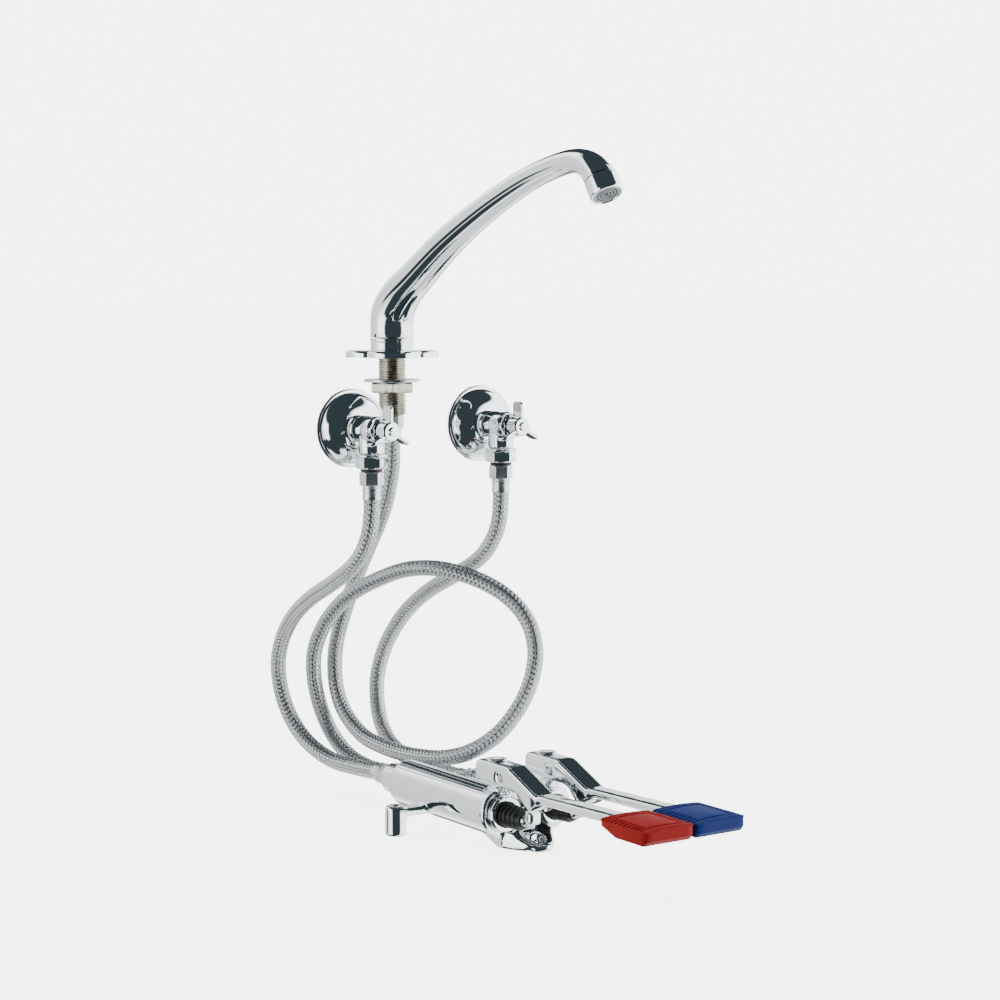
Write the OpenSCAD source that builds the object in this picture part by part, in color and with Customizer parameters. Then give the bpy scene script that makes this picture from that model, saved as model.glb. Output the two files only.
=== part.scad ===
// Foot pedal tap set: a deck spout, two wall stop valves, three braided hoses
// and a floor mixing valve with a hot and a cold pedal.
// The origin is on the deck under the spout. X points to the user, Y runs along the wall, Z is up.

/* [Placing] */
// Height of the deck that carries the spout above the floor
deck_height = 328; // [320:1:420]
// Distance of the wall face in front of the spout axis
wall_offset = 25; // [20:1:35]
// Distance between the two stop valves along the wall
stop_pitch = 110; // [90:1:160]
// Sideways shift of the stop valves from the spout
stop_shift = 5; // [-10:1:10]
// Depth of the stop valves below the deck
stop_drop = 49; // [40:1:90]

/* [Spout] */
// Reach of the deck flange's four lobes
flange_r = 34; // [32:0.5:45]
// Radius of each lobe
lobe_r = 20; // [18:0.5:24]
// Turn of the lobes about the spout axis, in degrees
lobe_turn = -27; // [-45:1:45]
// Height of the deck flange
flange_h = 5; // [4:0.5:8]
// Radius of the collar under the spout
collar_r = 16.2; // [15.5:0.1:20]
// Height of the collar under the spout
collar_h = 9; // [8:0.5:14]
// Radius of the stem that the spout turns on
stem_r = 10; // [8:0.1:12]
// Length of the stem inside the spout
stem_rise = 10.4; // [9:0.1:11]
// Radius of the threaded shank, G 1/2
shank_r = 10.4; // [8:0.1:13]
// Length of the shank below the deck
shank_length = 42; // [36:1:60]
// Thickness of the deck that the shank clamps
deck_thickness = 16; // [8:1:22]
// Radius of the spout at its foot
spout_foot_r = 15.7; // [14.5:0.1:18]
// Radius of the spout where it is thinnest
spout_neck_r = 8; // [7:0.1:10]
// Wall thickness of the spout
spout_wall = 1.8; // [1.2:0.1:2.4]
// Reach of the spout from its axis to the aerator seam
spout_reach = 252; // [180:1:320]
// Rise of the spout above its foot
spout_rise = 107; // [80:1:160]
// Tilt of the outlet from straight down, in degrees
outlet_tilt = 33; // [10:1:45]
// Radius of the aerator shell
aerator_r = 11; // [10.9:0.1:13]
// Length of the aerator shell
aerator_h = 13; // [11:0.5:18]

/* [Stop valves] */
// Radius of the wall escutcheon
escutcheon_r = 28; // [24:0.5:36]
// Depth of the wall escutcheon
escutcheon_depth = 13; // [9:0.5:16]
// Radius of the male wall thread, G 1/2
inlet_r = 10.4; // [8:0.1:13]
// Length of the male wall thread
inlet_length = 16; // [10:1:24]
// Distance from the wall to the outlet axis
stop_reach = 28; // [26:0.5:36]
// Radius of the stop valve's body
stop_body_r = 10; // [9.5:0.1:12]
// Radius of the stop valve's spindle
spindle_r = 4; // [3:0.1:5]
// Reach of the handle's wings from their axis
wing_reach = 18; // [14:0.5:24]
// Width across flats of the outlet adapter
adapter_across = 20; // [17:0.5:24]

/* [Hoses] */
// Outer diameter of the braided hose
hose_d = 12; // [10:0.1:12.5]
// Outer diameter of the crimped ferrule
ferrule_d = 13.4; // [13:0.1:15]
// Length of the crimped ferrule
ferrule_length = 8.5; // [6:0.5:14]
// Width across flats of the hose nut
hose_nut_across = 15; // [14:0.5:18]
// Length of the hose nut
hose_nut_length = 11.5; // [8:0.5:16]
// Radius of the water way in the fittings
water_r = 4; // [3:0.1:4.5]

/* [Pedal valve] */
// Distance between the hot and the cold pedal
pedal_pitch = 41; // [40:0.5:60]
// Height of the barrel axis above the floor
axis_height = 25; // [22:0.5:32]
// Radius of the valve barrels
barrel_r = 16.5; // [15:0.1:20]
// Front end of the barrels from the spout axis
barrel_front = 172; // [168:1:176]
// Length of the hot barrel
hot_barrel_length = 120; // [100:1:130]
// Length of the cold barrel
cold_barrel_length = 72; // [70:1:100]
// Step from the outside of the barrels to the troughs in the front apron
trough_wall = 3.5; // [2.5:0.1:5]
// Radius of the plunger
plunger_r = 4; // [3:0.1:5]
// Radius of the valve seat opening
seat_r = 5; // [4.5:0.1:6]

/* [Pedals] */
// Position of the pedal pins from the spout axis
pin_x = 180; // [178:1:184]
// Height of the pedal pins above the top of the barrels
pin_above_barrel = 9.5; // [9:0.1:14]
// Radius of the pedal pins
pin_r = 2.5; // [2:0.1:3.2]
// Width of the pedal's hinge block
arm_width = 17; // [15:0.5:22]
// Width of the pedal's bar
bar_width = 15; // [10:0.5:15]
// Thickness of the pedal's bar
bar_thick = 7; // [5:0.5:9]
// Length of the rubber pad
pad_length = 46; // [36:1:70]
// Width of the rubber pad
pad_width = 39; // [30:0.5:39.5]
// Thickness of the rubber pad
pad_thick = 12; // [10:0.5:16]
// Front end of the pads from the spout axis
pad_front = 352; // [330:1:400]

/* [Floor fixings] */
// Distance between the two rear screw posts
post_pitch = 116; // [104:1:140]
// Position of the rear screw posts from the spout axis
post_x = 96; // [92:1:160]
// Radius of the rear screw posts
post_r = 7.5; // [5.5:0.1:8]
// Height of the rear screw posts
post_height = 21; // [16:0.5:24]
// Radius of the holes in the posts
post_hole_r = 2.5; // [2:0.05:3.2]
// Position of the front screw hole from the spout axis
ear_x = 186; // [184:1:190]
// Radius of the front screw ear
ear_r = 10; // [8:0.5:12]
// Thickness of the front screw ear
ear_thick = 5; // [4:0.5:7]
// Radius of the hole in the front ear
ear_hole_r = 2.75; // [2:0.05:3.2]

/* [Fits] */
// Radial gap of parts that turn or slide in each other
running_gap = 0.05; // [0.02:0.01:0.1]
// Gap between pieces that stand close and move
clearance = 0.3; // [0.2:0.05:0.5]

/* [Hidden] */
$fn = 48;
overlap = 0.5;
seat_gap = 0.1;
HOT = -1;
COLD = 1;

// Levels and places of the floor valve
floor_z = -deck_height;
axis_z = floor_z + axis_height;
barrel_top = axis_z + barrel_r;
pin_z = barrel_top + pin_above_barrel;
trough_r = barrel_r - trough_wall;
apron_r = 24;
mixer_low = axis_z - barrel_r + 1;
mixer_top = barrel_top - 2;

// Inside of a barrel, from its front end backwards
chamber_r = barrel_r - 5;
gland_depth = 20;
gland_flange_r = trough_r - 0.2;
gland_flange_h = 6;
seat_x = barrel_front - 36;
seat_wall = 4;
spring_room = 30;
spring_r = seat_r + 2;
disc_r = seat_r + 2.5;
disc_thick = 4;
disc_hole_r = 2.5;
plunger_waist = seat_r - 2;
tip_round = plunger_r + 2;
boot_base = barrel_front + 2;
boot_front = pin_x + 19;
boot_r = gland_flange_r - 4.2;
boot_wall = 1.2;
boot_folds = 4;
tip_x = pin_x + 23;
port_length = 15;
port_r = 11;
cone_length = 6;
outlet_y = 2;
outlet_drop = 6;
outlet_port_r = 9.5;
mix_x = seat_x + seat_wall + 5;
post_arm = 6;

// Pedal arm, measured from its pin
block_rear = pin_x - 30;
block_top = pin_z + 9.5;
block_under = pin_z - 6.5;
slope_x = pin_x + 9;
slope_end_x = pin_x + 41;
slope_end_z = pin_z - 4;
heel_z = pin_z - 17;
cheek = 3.2;
roof_z = pin_z + 5.8;
boss_r = 5;
lug_width = arm_width - 2 * cheek - 2 * clearance;
pad_rear = pad_front - pad_length;
pad_top = pin_z + 1;
rib_h = 1.4;
rib_w = 2.4;
rib_pitch = 4.6;
ribs_each_end = 3;
pocket_gap = 0.1;
bar_low = pad_top - pad_thick / 2 - bar_thick / 2;
cap_r = 7;
cap_peg_r = 3;
finger_thick = 8;
finger_width = 10;
cap_x = pin_x - 14;

// Deck flange, stem and what clamps them
gasket_in = 20;
gasket_out = 24;
gasket_h = 1.5;
shoulder_r = stem_r + 2.5;
shoulder_h = 2.5;
washer_h = 2;
back_nut_h = 8;

// Spout foot and line: share of reach, share of rise, share of the taper
spout_foot = flange_h + collar_h + clearance;
socket_top = spout_foot + stem_rise;
spout_shape = [
  [0, 0, 1], [0.01, 0.09, 1], [0.055, 0.2, 0.86], [0.135, 0.315, 0.65], [0.3, 0.54, 0.44],
  [0.49, 0.745, 0.22], [0.665, 0.895, 0.08], [0.8, 0.975, 0], [0.89, 1, 0], [0.955, 0.965, 0.16],
  [1, 0.885, 0.36]
];
spout_line = [for (s = spout_shape) [s[0] * spout_reach, 0, socket_top - overlap + s[1] * spout_rise]];
spout_radius = [for (s = spout_shape) spout_neck_r + s[2] * (spout_foot_r - spout_neck_r)];
outlet_end = spout_line[len(spout_line) - 1];
outlet_way = [sin(outlet_tilt), 0, -cos(outlet_tilt)];
seal_section = 0.9;
seal_at = [spout_foot + 2, spout_foot + stem_rise - 2];
screw_groove = spout_foot + stem_rise / 2;
screw_r = 1.5;
screw_groove_h = 2 * screw_r + 0.2;
screw_groove_r = stem_r - 1.6;
aerator_wall = 1.8;
spigot_r = spout_radius[len(spout_radius) - 1] - spout_wall - 1.2;

// Stop valve outlets
stop_z = -stop_drop;
outlet_x = wall_offset + stop_reach;
outlet_h = 17;
stop_bottom = stop_z - outlet_h;
adapter_spigot_r = water_r + 2.35;
adapter_h = 10;
seal_h = 2;
hose_top = stop_bottom - adapter_h - seal_h;
seat_u = stop_reach - 6;
chamber_u = stop_reach + 10;
stop_chamber_r = stop_body_r - 2.5;
bonnet_h = 5;
hub_u = chamber_u + bonnet_h + 1.5;
hub_h = 11;
hub_r = 7;
wing_thick = 2.6;
wing_round = 3;
handle_screw_r = 1.5;
jumper_h = 4;
jumper_pin_r = 1.6;
jumper_pin_h = 5;
spindle_u = seat_u + jumper_h + 0.2;
spigot_h = 6;
escutcheon_hole = stop_body_r + 0.6;
escutcheon_wall = 1.2;

// Hose ends at the floor valve
hot_port_x = barrel_front - hot_barrel_length - cone_length - port_length;
cold_port_x = barrel_front - cold_barrel_length - cone_length - port_length;
outlet_port_x = hot_port_x;
outlet_z = axis_z - outlet_drop;
hose_end = hose_nut_length + ferrule_length;

// Centre lines of the hoses between their ferrules
hot_line = [
  [53, -50, -98], [52.8, -50, -107], [50.5, -50.5, -121], [43.5, -51.5, -135], [30, -53, -148],
  [4, -54, -162], [-26, -53, -175], [-54, -51, -190], [-78, -48, -209], [-93, -45, -231], [-97, -41, -254],
  [-90, -36.5, -276], [-73, -31.5, -293], [-47, -26, -303], [-18, -21.5, -304.5], [11, -20.5, -303]
];
cold_line = [
  [53, 60, -98], [52.8, 60, -107], [50.5, 59.7, -121], [43.5, 58.5, -135], [29.5, 56.5, -149],
  [2, 52.5, -164], [-28, 48, -179], [-55, 44, -199], [-75, 40, -225], [-82.5, 36.5, -252],
  [-75.5, 33.5, -278], [-58, 31, -295], [-34, 28.5, -302.5], [-6, 26, -304.5], [20, 23, -304.5],
  [42, 21, -303.5], [59, 20.5, -303]
];
spout_hose_line = [
  [0, 0, -62], [-1, 0, -82], [-8, 0, -104], [-20, 1, -122], [-36, 2, -141], [-56, 2, -168],
  [-72, 1, -196], [-81, -0.5, -219], [-83, -1.5, -238], [-78.5, -2, -257.5], [-66, -1.5, -274],
  [-43, 0, -287], [-16, 2, -291.5], [9, 4, -292.5], [32, 6.5, -291.5], [55, 11, -288.5], [76, 19, -281],
  [92, 30.5, -267.5], [100.5, 42.5, -249], [102.5, 52, -230], [99, 58.5, -209.5], [90, 59, -190],
  [75, 53.5, -174], [54, 42, -162], [29, 26, -155], [4, 14, -156], [-20, 4, -164], [-46, -8, -178.5],
  [-66, -16, -198], [-79, -20, -220], [-85, -19, -240], [-86, -15.5, -260], [-82.5, -11, -278],
  [-73, -7, -293.5], [-57, -3, -305], [-35, 0.5, -310], [-12, 2, -309.5], [11, 2, -309]
];

// A line moved so that it starts and ends at the given fittings
function tied(line, first, last) = let (n = len(line) - 1) [
  for (i = [0:n]) line[i] + (1 - i / n) * (first - line[0]) + i / n * (last - line[n])
];
hot_route = tied(
  hot_line, [outlet_x, stop_y(HOT), hose_top - hose_end], [hot_port_x - hose_end, pedal_y(HOT), axis_z]
);
cold_route = tied(
  cold_line, [outlet_x, stop_y(COLD), hose_top - hose_end], [cold_port_x - hose_end, pedal_y(COLD), axis_z]
);
spout_route = tied(
  spout_hose_line, [0, 0, -shank_length - hose_end], [outlet_port_x - hose_end, outlet_y, outlet_z]
);

chrome = "#d4d8da";
steel = "#b9bdc0";
brass = "#c9a85c";
black_rubber = "#1d2021";
grey_plastic = "#8d9396";
hot_red = "#b5261f";
cold_blue = "#2b3f93";

// Vectors, frames and swept tubes
function unit(v) = v / norm(v);
function way(p, i, first, last) =
  i == 0 ? first : i == len(p) - 1 ? last : unit(p[i + 1] - p[i - 1]);
function carried(n, t) = unit(n - (n * t) * t);
function normals(p, first, last, i = 0, n = [0, 1, 0]) =
  i == len(p) ? [] :
  let (m = carried(n, way(p, i, first, last)))
  concat([m], normals(p, first, last, i + 1, m));
function rings(p, radius, first, last, sides) =
  let (n = normals(p, first, last))
  [for (i = [0:len(p) - 1], k = [0:sides - 1])
    let (b = cross(way(p, i, first, last), n[i]), a = 360 * k / sides)
    p[i] + radius[i] * (cos(a) * n[i] + sin(a) * b)];
function ring_faces(count, sides, at = 0, turned = false) =
  [for (i = [0:count - 2], k = [0:sides - 1], half = [0, 1])
    let (a = at + i * sides + k, b = at + i * sides + (k + 1) % sides, c = a + sides, d = b + sides)
    half == 0 ? (turned ? [a, b, c] : [a, c, b]) : (turned ? [b, d, c] : [b, c, d])];

// Point of a smooth curve through a list, at a share t of the span after point i
function spline(p, i, t) =
  let (a = p[max(i - 1, 0)], b = p[i], c = p[i + 1], d = p[min(i + 2, len(p) - 1)])
  0.5 * (2 * b + (c - a) * t + (2 * a - 5 * b + 4 * c - d) * t * t + (3 * b - a - 3 * c + d) * t * t * t);
function smooth_list(p, steps) =
  concat([for (i = [0:len(p) - 2], s = [0:steps - 1]) spline(p, i, s / steps)], [p[len(p) - 1]]);

// Least gap of a tube to itself, between points further apart along it than its own bend
function own_gap(line, d, apart) =
  min([for (i = [0:len(line) - 1 - apart], j = [i + apart:len(line) - 1]) norm(line[i] - line[j])]) - d;
echo(spout_hose_gap = own_gap(smooth_list(spout_route, 4), hose_d, 24));

// Solid tube along a route
module cord(route, d, first, last, sides = 10) {
  count = len(route);
  radius = [for (q = route) d / 2];
  front = [for (k = [0:sides - 1]) k];
  back = [for (k = [sides - 1:-1:0]) (count - 1) * sides + k];
  polyhedron(rings(route, radius, first, last, sides), concat([front], ring_faces(count, sides), [back]));
}

// Hollow tapered tube along a line
module hollow_tube(line, radius, wall, first, last, sides = 24) {
  count = len(line);
  total = count * sides;
  inner = [for (r = radius) r - wall];
  points = concat(rings(line, radius, first, last, sides), rings(line, inner, first, last, sides));
  ends = [for (i = [0, count - 1], k = [0:sides - 1], half = [0, 1])
    let (a = i * sides + k, b = i * sides + (k + 1) % sides, c = a + total, d = b + total)
    i == 0 ? (half == 0 ? [a, b, c] : [b, d, c]) : (half == 0 ? [a, c, b] : [b, c, d])];
  polyhedron(points, concat(ring_faces(count, sides), ring_faces(count, sides, total, true), ends));
}

// Rod along X from one place to another
module rod_x(x0, x1, r, y = 0, z = 0) {
  translate([x0, y, z]) rotate([0, 90, 0]) cylinder(h = x1 - x0, r = r);
}

// Cone along X
module cone_x(x0, x1, r0, r1, y = 0, z = 0) {
  translate([x0, y, z]) rotate([0, 90, 0]) cylinder(h = x1 - x0, r1 = r0, r2 = r1);
}

// Turned shape about X, drawn as radius and place along X
module turned_x(outline, y = 0, z = 0) {
  translate([0, y, z]) rotate([0, 90, 0]) rotate_extrude() polygon(outline);
}

// Side outline in X and Z, made solid across Y
module across_y(width, y = 0) {
  translate([0, y + width / 2, 0]) rotate([90, 0, 0]) linear_extrude(width) children();
}

// Six-sided bar standing on its end
module hex_bar(across, h) {
  cylinder(h = h, r = across / sqrt(3), $fn = 6);
}

// Six-sided nut with a round chamfer at both ends and a water way
module hex_nut(across, h, bore) {
  corner = across / sqrt(3);
  chamfer = corner - across / 2;
  difference() {
    intersection() {
      hex_bar(across, h);
      rotate_extrude() polygon([
        [0, 0], [corner - chamfer, 0], [corner + 0.01, chamfer], [corner + 0.01, h - chamfer],
        [corner - chamfer, h], [0, h]
      ]);
    }
    translate([0, 0, -1]) cylinder(h = h + 2, r = bore);
  }
}

// Points of an arc from one angle to another
function arc(x, y, r, from, to, steps = 8) =
  [for (i = [0:steps]) let (a = from + (to - from) * i / steps) [x + r * cos(a), y + r * sin(a)]];

module deck_flange() {
  color(chrome) difference() {
    for (a = [0:90:270]) rotate([0, 0, a + lobe_turn]) translate([flange_r - lobe_r, 0, 0])
      rotate_extrude() polygon([
        [0, 0], [lobe_r - 0.6, 0], [lobe_r, 0.6], [lobe_r, flange_h - 1.4], [lobe_r - 1.4, flange_h],
        [0, flange_h]
      ]);
    translate([0, 0, -1]) cylinder(h = flange_h + 2, r = shank_r + seat_gap);
    gasket_ring(1);
  }
}

// Ring of the gasket, with the groove's cutter reaching below it
module gasket_ring(below) {
  translate([0, 0, -below]) difference() {
    cylinder(h = gasket_h + below, r = gasket_out);
    translate([0, 0, -1]) cylinder(h = gasket_h + below + 2, r = gasket_in);
  }
}

module deck_gasket() {
  color(black_rubber) gasket_ring(0);
}

module spout_stem() {
  color(steel) difference() {
    union() {
      translate([0, 0, -shank_length]) cylinder(h = shank_length + flange_h, r = shank_r);
      translate([0, 0, flange_h]) cylinder(h = shoulder_h, r = shoulder_r);
      translate([0, 0, flange_h]) cylinder(h = socket_top - flange_h - clearance, r = stem_r);
    }
    translate([0, 0, -shank_length - 1]) cylinder(h = shank_length + socket_top + 2, r = stem_r - 4);
    for (z = seal_at) stem_groove(z, 2 * seal_section + 0.2, stem_r - 2 * seal_section);
    stem_groove(screw_groove, screw_groove_h, screw_groove_r);
  }
}

module stem_groove(z, h, r) {
  translate([0, 0, z - h / 2]) difference() {
    cylinder(h = h, r = stem_r + 1);
    translate([0, 0, -1]) cylinder(h = h + 2, r = r);
  }
}

module stem_seals() {
  color(black_rubber) for (z = seal_at) translate([0, 0, z]) rotate_extrude()
    translate([stem_r - seal_section, 0]) circle(r = seal_section);
}

module spout_collar() {
  top = flange_h + collar_h;
  lip = flange_h + shoulder_h + clearance;
  color(chrome) rotate_extrude() polygon([
    [shoulder_r + clearance, flange_h], [collar_r, flange_h], [collar_r, top - 0.8], [collar_r - 0.8, top],
    [stem_r + running_gap, top], [stem_r + running_gap, lip], [shoulder_r + clearance, lip]
  ]);
}

module clamp_washer() {
  color(steel) translate([0, 0, -deck_thickness - washer_h]) difference() {
    cylinder(h = washer_h, r = shank_r + 10);
    translate([0, 0, -1]) cylinder(h = washer_h + 2, r = shank_r + seat_gap);
  }
}

module back_nut() {
  color(brass) translate([0, 0, -deck_thickness - washer_h - back_nut_h])
    hex_nut(2 * shank_r + 9, back_nut_h, shank_r);
}

module spout() {
  steps = 4;
  color(chrome) difference() {
    union() {
      difference() {
        translate([0, 0, spout_foot]) cylinder(h = stem_rise, r = spout_foot_r);
        translate([0, 0, spout_foot - 1]) cylinder(h = stem_rise + 2, r = stem_r + running_gap);
      }
      hollow_tube(smooth_list(spout_line, steps), smooth_list([for (r = spout_radius) r - 0.05], steps),
        spout_wall, [0, 0, 1], outlet_way);
    }
    translate([0, 0, screw_groove]) rod_x(-spout_foot_r - 1, 0, screw_r);
  }
}

module spout_screw() {
  color(steel) rod_x(-spout_foot_r + 0.6, -screw_groove_r - clearance, screw_r, 0, screw_groove);
}

// Places the aerator pieces on the outlet, pointing the way the water goes
module at_outlet() {
  translate(outlet_end) rotate([0, 180 - outlet_tilt, 0]) children();
}

module aerator_shell() {
  color(chrome) at_outlet() difference() {
    union() {
      translate([0, 0, -3]) cylinder(h = 4, r = spigot_r);
      rotate_extrude() polygon([
        [0, 0], [aerator_r - 0.5, 0], [aerator_r, 0.5], [aerator_r, aerator_h - 1],
        [aerator_r - 1, aerator_h], [0, aerator_h]
      ]);
    }
    translate([0, 0, -5]) cylinder(h = 8, r = spigot_r - 1.4);
    translate([0, 0, 2]) cylinder(h = aerator_h, r = aerator_r - aerator_wall);
  }
}

module aerator_insert() {
  face = aerator_h - 0.8;
  color(grey_plastic) at_outlet() difference() {
    translate([0, 0, 2]) cylinder(h = face - 2, r = aerator_r - aerator_wall - running_gap);
    for (r = [2:2:aerator_r - aerator_wall - 2]) translate([0, 0, face - 1.5]) difference() {
      cylinder(h = 2, r = r + 0.9);
      translate([0, 0, -1]) cylinder(h = 4, r = r);
    }
    translate([0, 0, -5]) cylinder(h = 30, r = 1.2);
  }
}

// Place of a stop valve along the wall
function stop_y(side) = stop_shift + side * stop_pitch / 2;

// Wall face and axis of a stop valve
module at_stop(side) {
  translate([wall_offset, stop_y(side), stop_z]) children();
}

module escutcheon(side) {
  bulge = escutcheon_r - escutcheon_hole;
  outer = [for (a = [0:10:80]) [escutcheon_hole + bulge * cos(a), escutcheon_depth * sin(a)]];
  inner = [for (a = [80:-10:0])
    [escutcheon_hole + (bulge - escutcheon_wall) * cos(a), (escutcheon_depth - escutcheon_wall) * sin(a)]];
  front = [[escutcheon_hole, escutcheon_depth], [escutcheon_hole, escutcheon_depth - escutcheon_wall]];
  color(chrome) at_stop(side) turned_x(concat(outer, front, inner));
}

module stop_body(side) {
  color(chrome) at_stop(side) difference() {
    union() {
      rod_x(-inlet_length, 0, inlet_r);
      rod_x(0, chamber_u, stop_body_r);
      translate([stop_reach, 0, -outlet_h]) cylinder(h = outlet_h, r = stop_body_r - 0.8);
    }
    rod_x(-inlet_length - 1, seat_u, water_r);
    rod_x(seat_u, chamber_u + 1, stop_chamber_r);
    translate([stop_reach, 0, -outlet_h - 1]) cylinder(h = outlet_h, r = water_r);
    translate([stop_reach, 0, -outlet_h - 1]) cylinder(h = spigot_h + 1, r = adapter_spigot_r + running_gap);
  }
}

module stop_bonnet(side) {
  color(chrome) at_stop(side) difference() {
    union() {
      rod_x(chamber_u - 6, chamber_u + 1, stop_chamber_r - running_gap);
      translate([chamber_u, 0, 0]) rotate([0, 90, 0]) hex_bar(2 * stop_body_r - 3, bonnet_h);
    }
    rod_x(chamber_u - 7, chamber_u + bonnet_h + 1, spindle_r + running_gap);
  }
}

module stop_spindle(side) {
  color(brass) at_stop(side) difference() {
    rod_x(spindle_u, hub_u + hub_h - 1, spindle_r);
    rod_x(spindle_u - 1, spindle_u + jumper_pin_h + 0.5, jumper_pin_r + running_gap);
    rod_x(hub_u + hub_h - 7, hub_u + hub_h + 1, handle_screw_r);
  }
}

module stop_jumper(side) {
  color(brass) at_stop(side) union() {
    rod_x(seat_u, seat_u + jumper_h, water_r + 2);
    rod_x(seat_u + jumper_h - 0.5, seat_u + jumper_h + jumper_pin_h, jumper_pin_r);
  }
}

// Flat wing with two rounded corners, rooted in the hub
module wing_outline(length) {
  root = spindle_r + 0.6;
  translate([0, root]) square([length, wing_reach - wing_round - root]);
  translate([wing_round, root]) square([length - 2 * wing_round, wing_reach - root]);
  for (u = [wing_round, length - wing_round]) translate([u, wing_reach - wing_round]) circle(r = wing_round);
}

module stop_handle(side) {
  color(chrome) at_stop(side) difference() {
    union() {
      turned_x([[0, hub_u], [hub_r - 1, hub_u], [hub_r, hub_u + 1], [hub_r, hub_u + hub_h - 2.5],
        [hub_r - 2.5, hub_u + hub_h], [0, hub_u + hub_h]]);
      for (a = [0:120:240]) rotate([a, 0, 0]) across_y(wing_thick)
        translate([hub_u + 0.5, 0]) wing_outline(hub_h - 1);
    }
    rod_x(hub_u - 1, hub_u + hub_h - 1, spindle_r);
    rod_x(hub_u, hub_u + hub_h + 1, handle_screw_r + running_gap);
  }
}

module handle_screw(side) {
  color(steel) at_stop(side) difference() {
    union() {
      rod_x(hub_u + hub_h - 6.5, hub_u + hub_h + 1, handle_screw_r);
      cone_x(hub_u + hub_h, hub_u + hub_h + 1.6, 3.4, 2.4);
    }
    translate([hub_u + hub_h + 0.8, -4, -0.4]) cube([2, 8, 0.8]);
  }
}

// Column of fittings under a stop valve's outlet
module under_stop(side, z) {
  translate([outlet_x, stop_y(side), z]) children();
}

module outlet_adapter(side) {
  color(chrome) under_stop(side, stop_bottom - adapter_h) difference() {
    union() {
      hex_nut(adapter_across, adapter_h, water_r);
      translate([0, 0, adapter_h - 1]) cylinder(h = spigot_h + 0.5, r = adapter_spigot_r);
    }
    translate([0, 0, -1]) cylinder(h = adapter_h + spigot_h + 2, r = water_r);
  }
}

module outlet_seal(side) {
  color(black_rubber) under_stop(side, hose_top) difference() {
    cylinder(h = seal_h, r = hose_nut_across / 2 + 0.4);
    translate([0, 0, -1]) cylinder(h = seal_h + 2, r = water_r);
  }
}

// Nut and ferrule of one hose end: the nut starts at the origin and the hose leaves towards -Z
module end_nut() {
  translate([0, 0, -hose_nut_length]) hex_nut(hose_nut_across, hose_nut_length, water_r);
}

module end_ferrule() {
  r = ferrule_d / 2;
  translate([0, 0, -hose_end]) difference() {
    rotate_extrude() polygon([
      [0, 0], [hose_d / 2 + 0.1, 0], [r, 1.2], [r, 3], [r - 0.4, 3.6], [r - 0.4, ferrule_length - 3],
      [r, ferrule_length - 2.4], [r, ferrule_length], [0, ferrule_length]
    ]);
    translate([0, 0, -1]) cylinder(h = ferrule_length + 2, r = water_r);
  }
}

// Places a hose end on a rear port, with the hose leaving towards -X
module at_port(x, y, z) {
  translate([x, y, z]) rotate([0, 90, 0]) children();
}

module stop_end(side) {
  under_stop(side, hose_top) children();
}

module hot_hose() {
  color(steel) cord(hot_route, hose_d, [0, 0, -1], [1, 0, 0]);
}

module hot_hose_nuts() {
  color(chrome) {
    stop_end(HOT) end_nut();
    at_port(hot_port_x, pedal_y(HOT), axis_z) end_nut();
  }
}

module hot_hose_ferrules() {
  color(steel) {
    stop_end(HOT) end_ferrule();
    at_port(hot_port_x, pedal_y(HOT), axis_z) end_ferrule();
  }
}

module cold_hose() {
  color(steel) cord(cold_route, hose_d, [0, 0, -1], [1, 0, 0]);
}

module cold_hose_nuts() {
  color(chrome) {
    stop_end(COLD) end_nut();
    at_port(cold_port_x, pedal_y(COLD), axis_z) end_nut();
  }
}

module cold_hose_ferrules() {
  color(steel) {
    stop_end(COLD) end_ferrule();
    at_port(cold_port_x, pedal_y(COLD), axis_z) end_ferrule();
  }
}

module spout_hose() {
  color(steel) cord(spout_route, hose_d, [0, 0, -1], [1, 0, 0]);
}

module spout_hose_nuts() {
  color(chrome) {
    translate([0, 0, -shank_length]) end_nut();
    at_port(outlet_port_x, outlet_y, outlet_z) end_nut();
  }
}

module spout_hose_ferrules() {
  color(steel) {
    translate([0, 0, -shank_length]) end_ferrule();
    at_port(outlet_port_x, outlet_y, outlet_z) end_ferrule();
  }
}

// Plane of a pedal
function pedal_y(side) = side * pedal_pitch / 2;

// Barrel with its rear port
module barrel(side, length) {
  y = pedal_y(side);
  rear = barrel_front - length;
  rod_x(rear, barrel_front, barrel_r, y, axis_z);
  port = rear - cone_length;
  cone_x(port, rear, port_r, barrel_r, y, axis_z);
  rod_x(port - port_length, port + 1, port_r, y, axis_z);
}

// Plate on the floor that ends in the front screw ear
module foot_plate() {
  translate([0, 0, floor_z]) linear_extrude(ear_thick) {
    translate([ear_x, 0]) circle(r = ear_r);
    polygon([[barrel_front - 8, -20], [ear_x, -ear_r], [ear_x, ear_r], [barrel_front - 8, 20]]);
  }
}

// Apron that runs from under the barrels down to the front ear in a hollow curve
module apron() {
  intersection() {
    difference() {
      across_y(pedal_pitch) polygon([
        [barrel_front - 34, mixer_low], [barrel_front - 8, floor_z], [ear_x, floor_z],
        [ear_x + 4, floor_z + ear_thick], [barrel_front, axis_z - 2], [barrel_front - 34, axis_z - 2]
      ]);
      across_y(2 * pedal_pitch) translate([barrel_front + apron_r, floor_z + ear_thick + apron_r])
        circle(r = apron_r);
    }
    translate([0, 0, floor_z - 1]) linear_extrude(axis_height + 2) polygon([
      [barrel_front - 35, -pedal_pitch], [barrel_front, -pedal_pitch / 2], [ear_x + 5, -ear_r],
      [ear_x + 5, ear_r], [barrel_front, pedal_pitch / 2], [barrel_front - 35, pedal_pitch]
    ]);
  }
}

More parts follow.
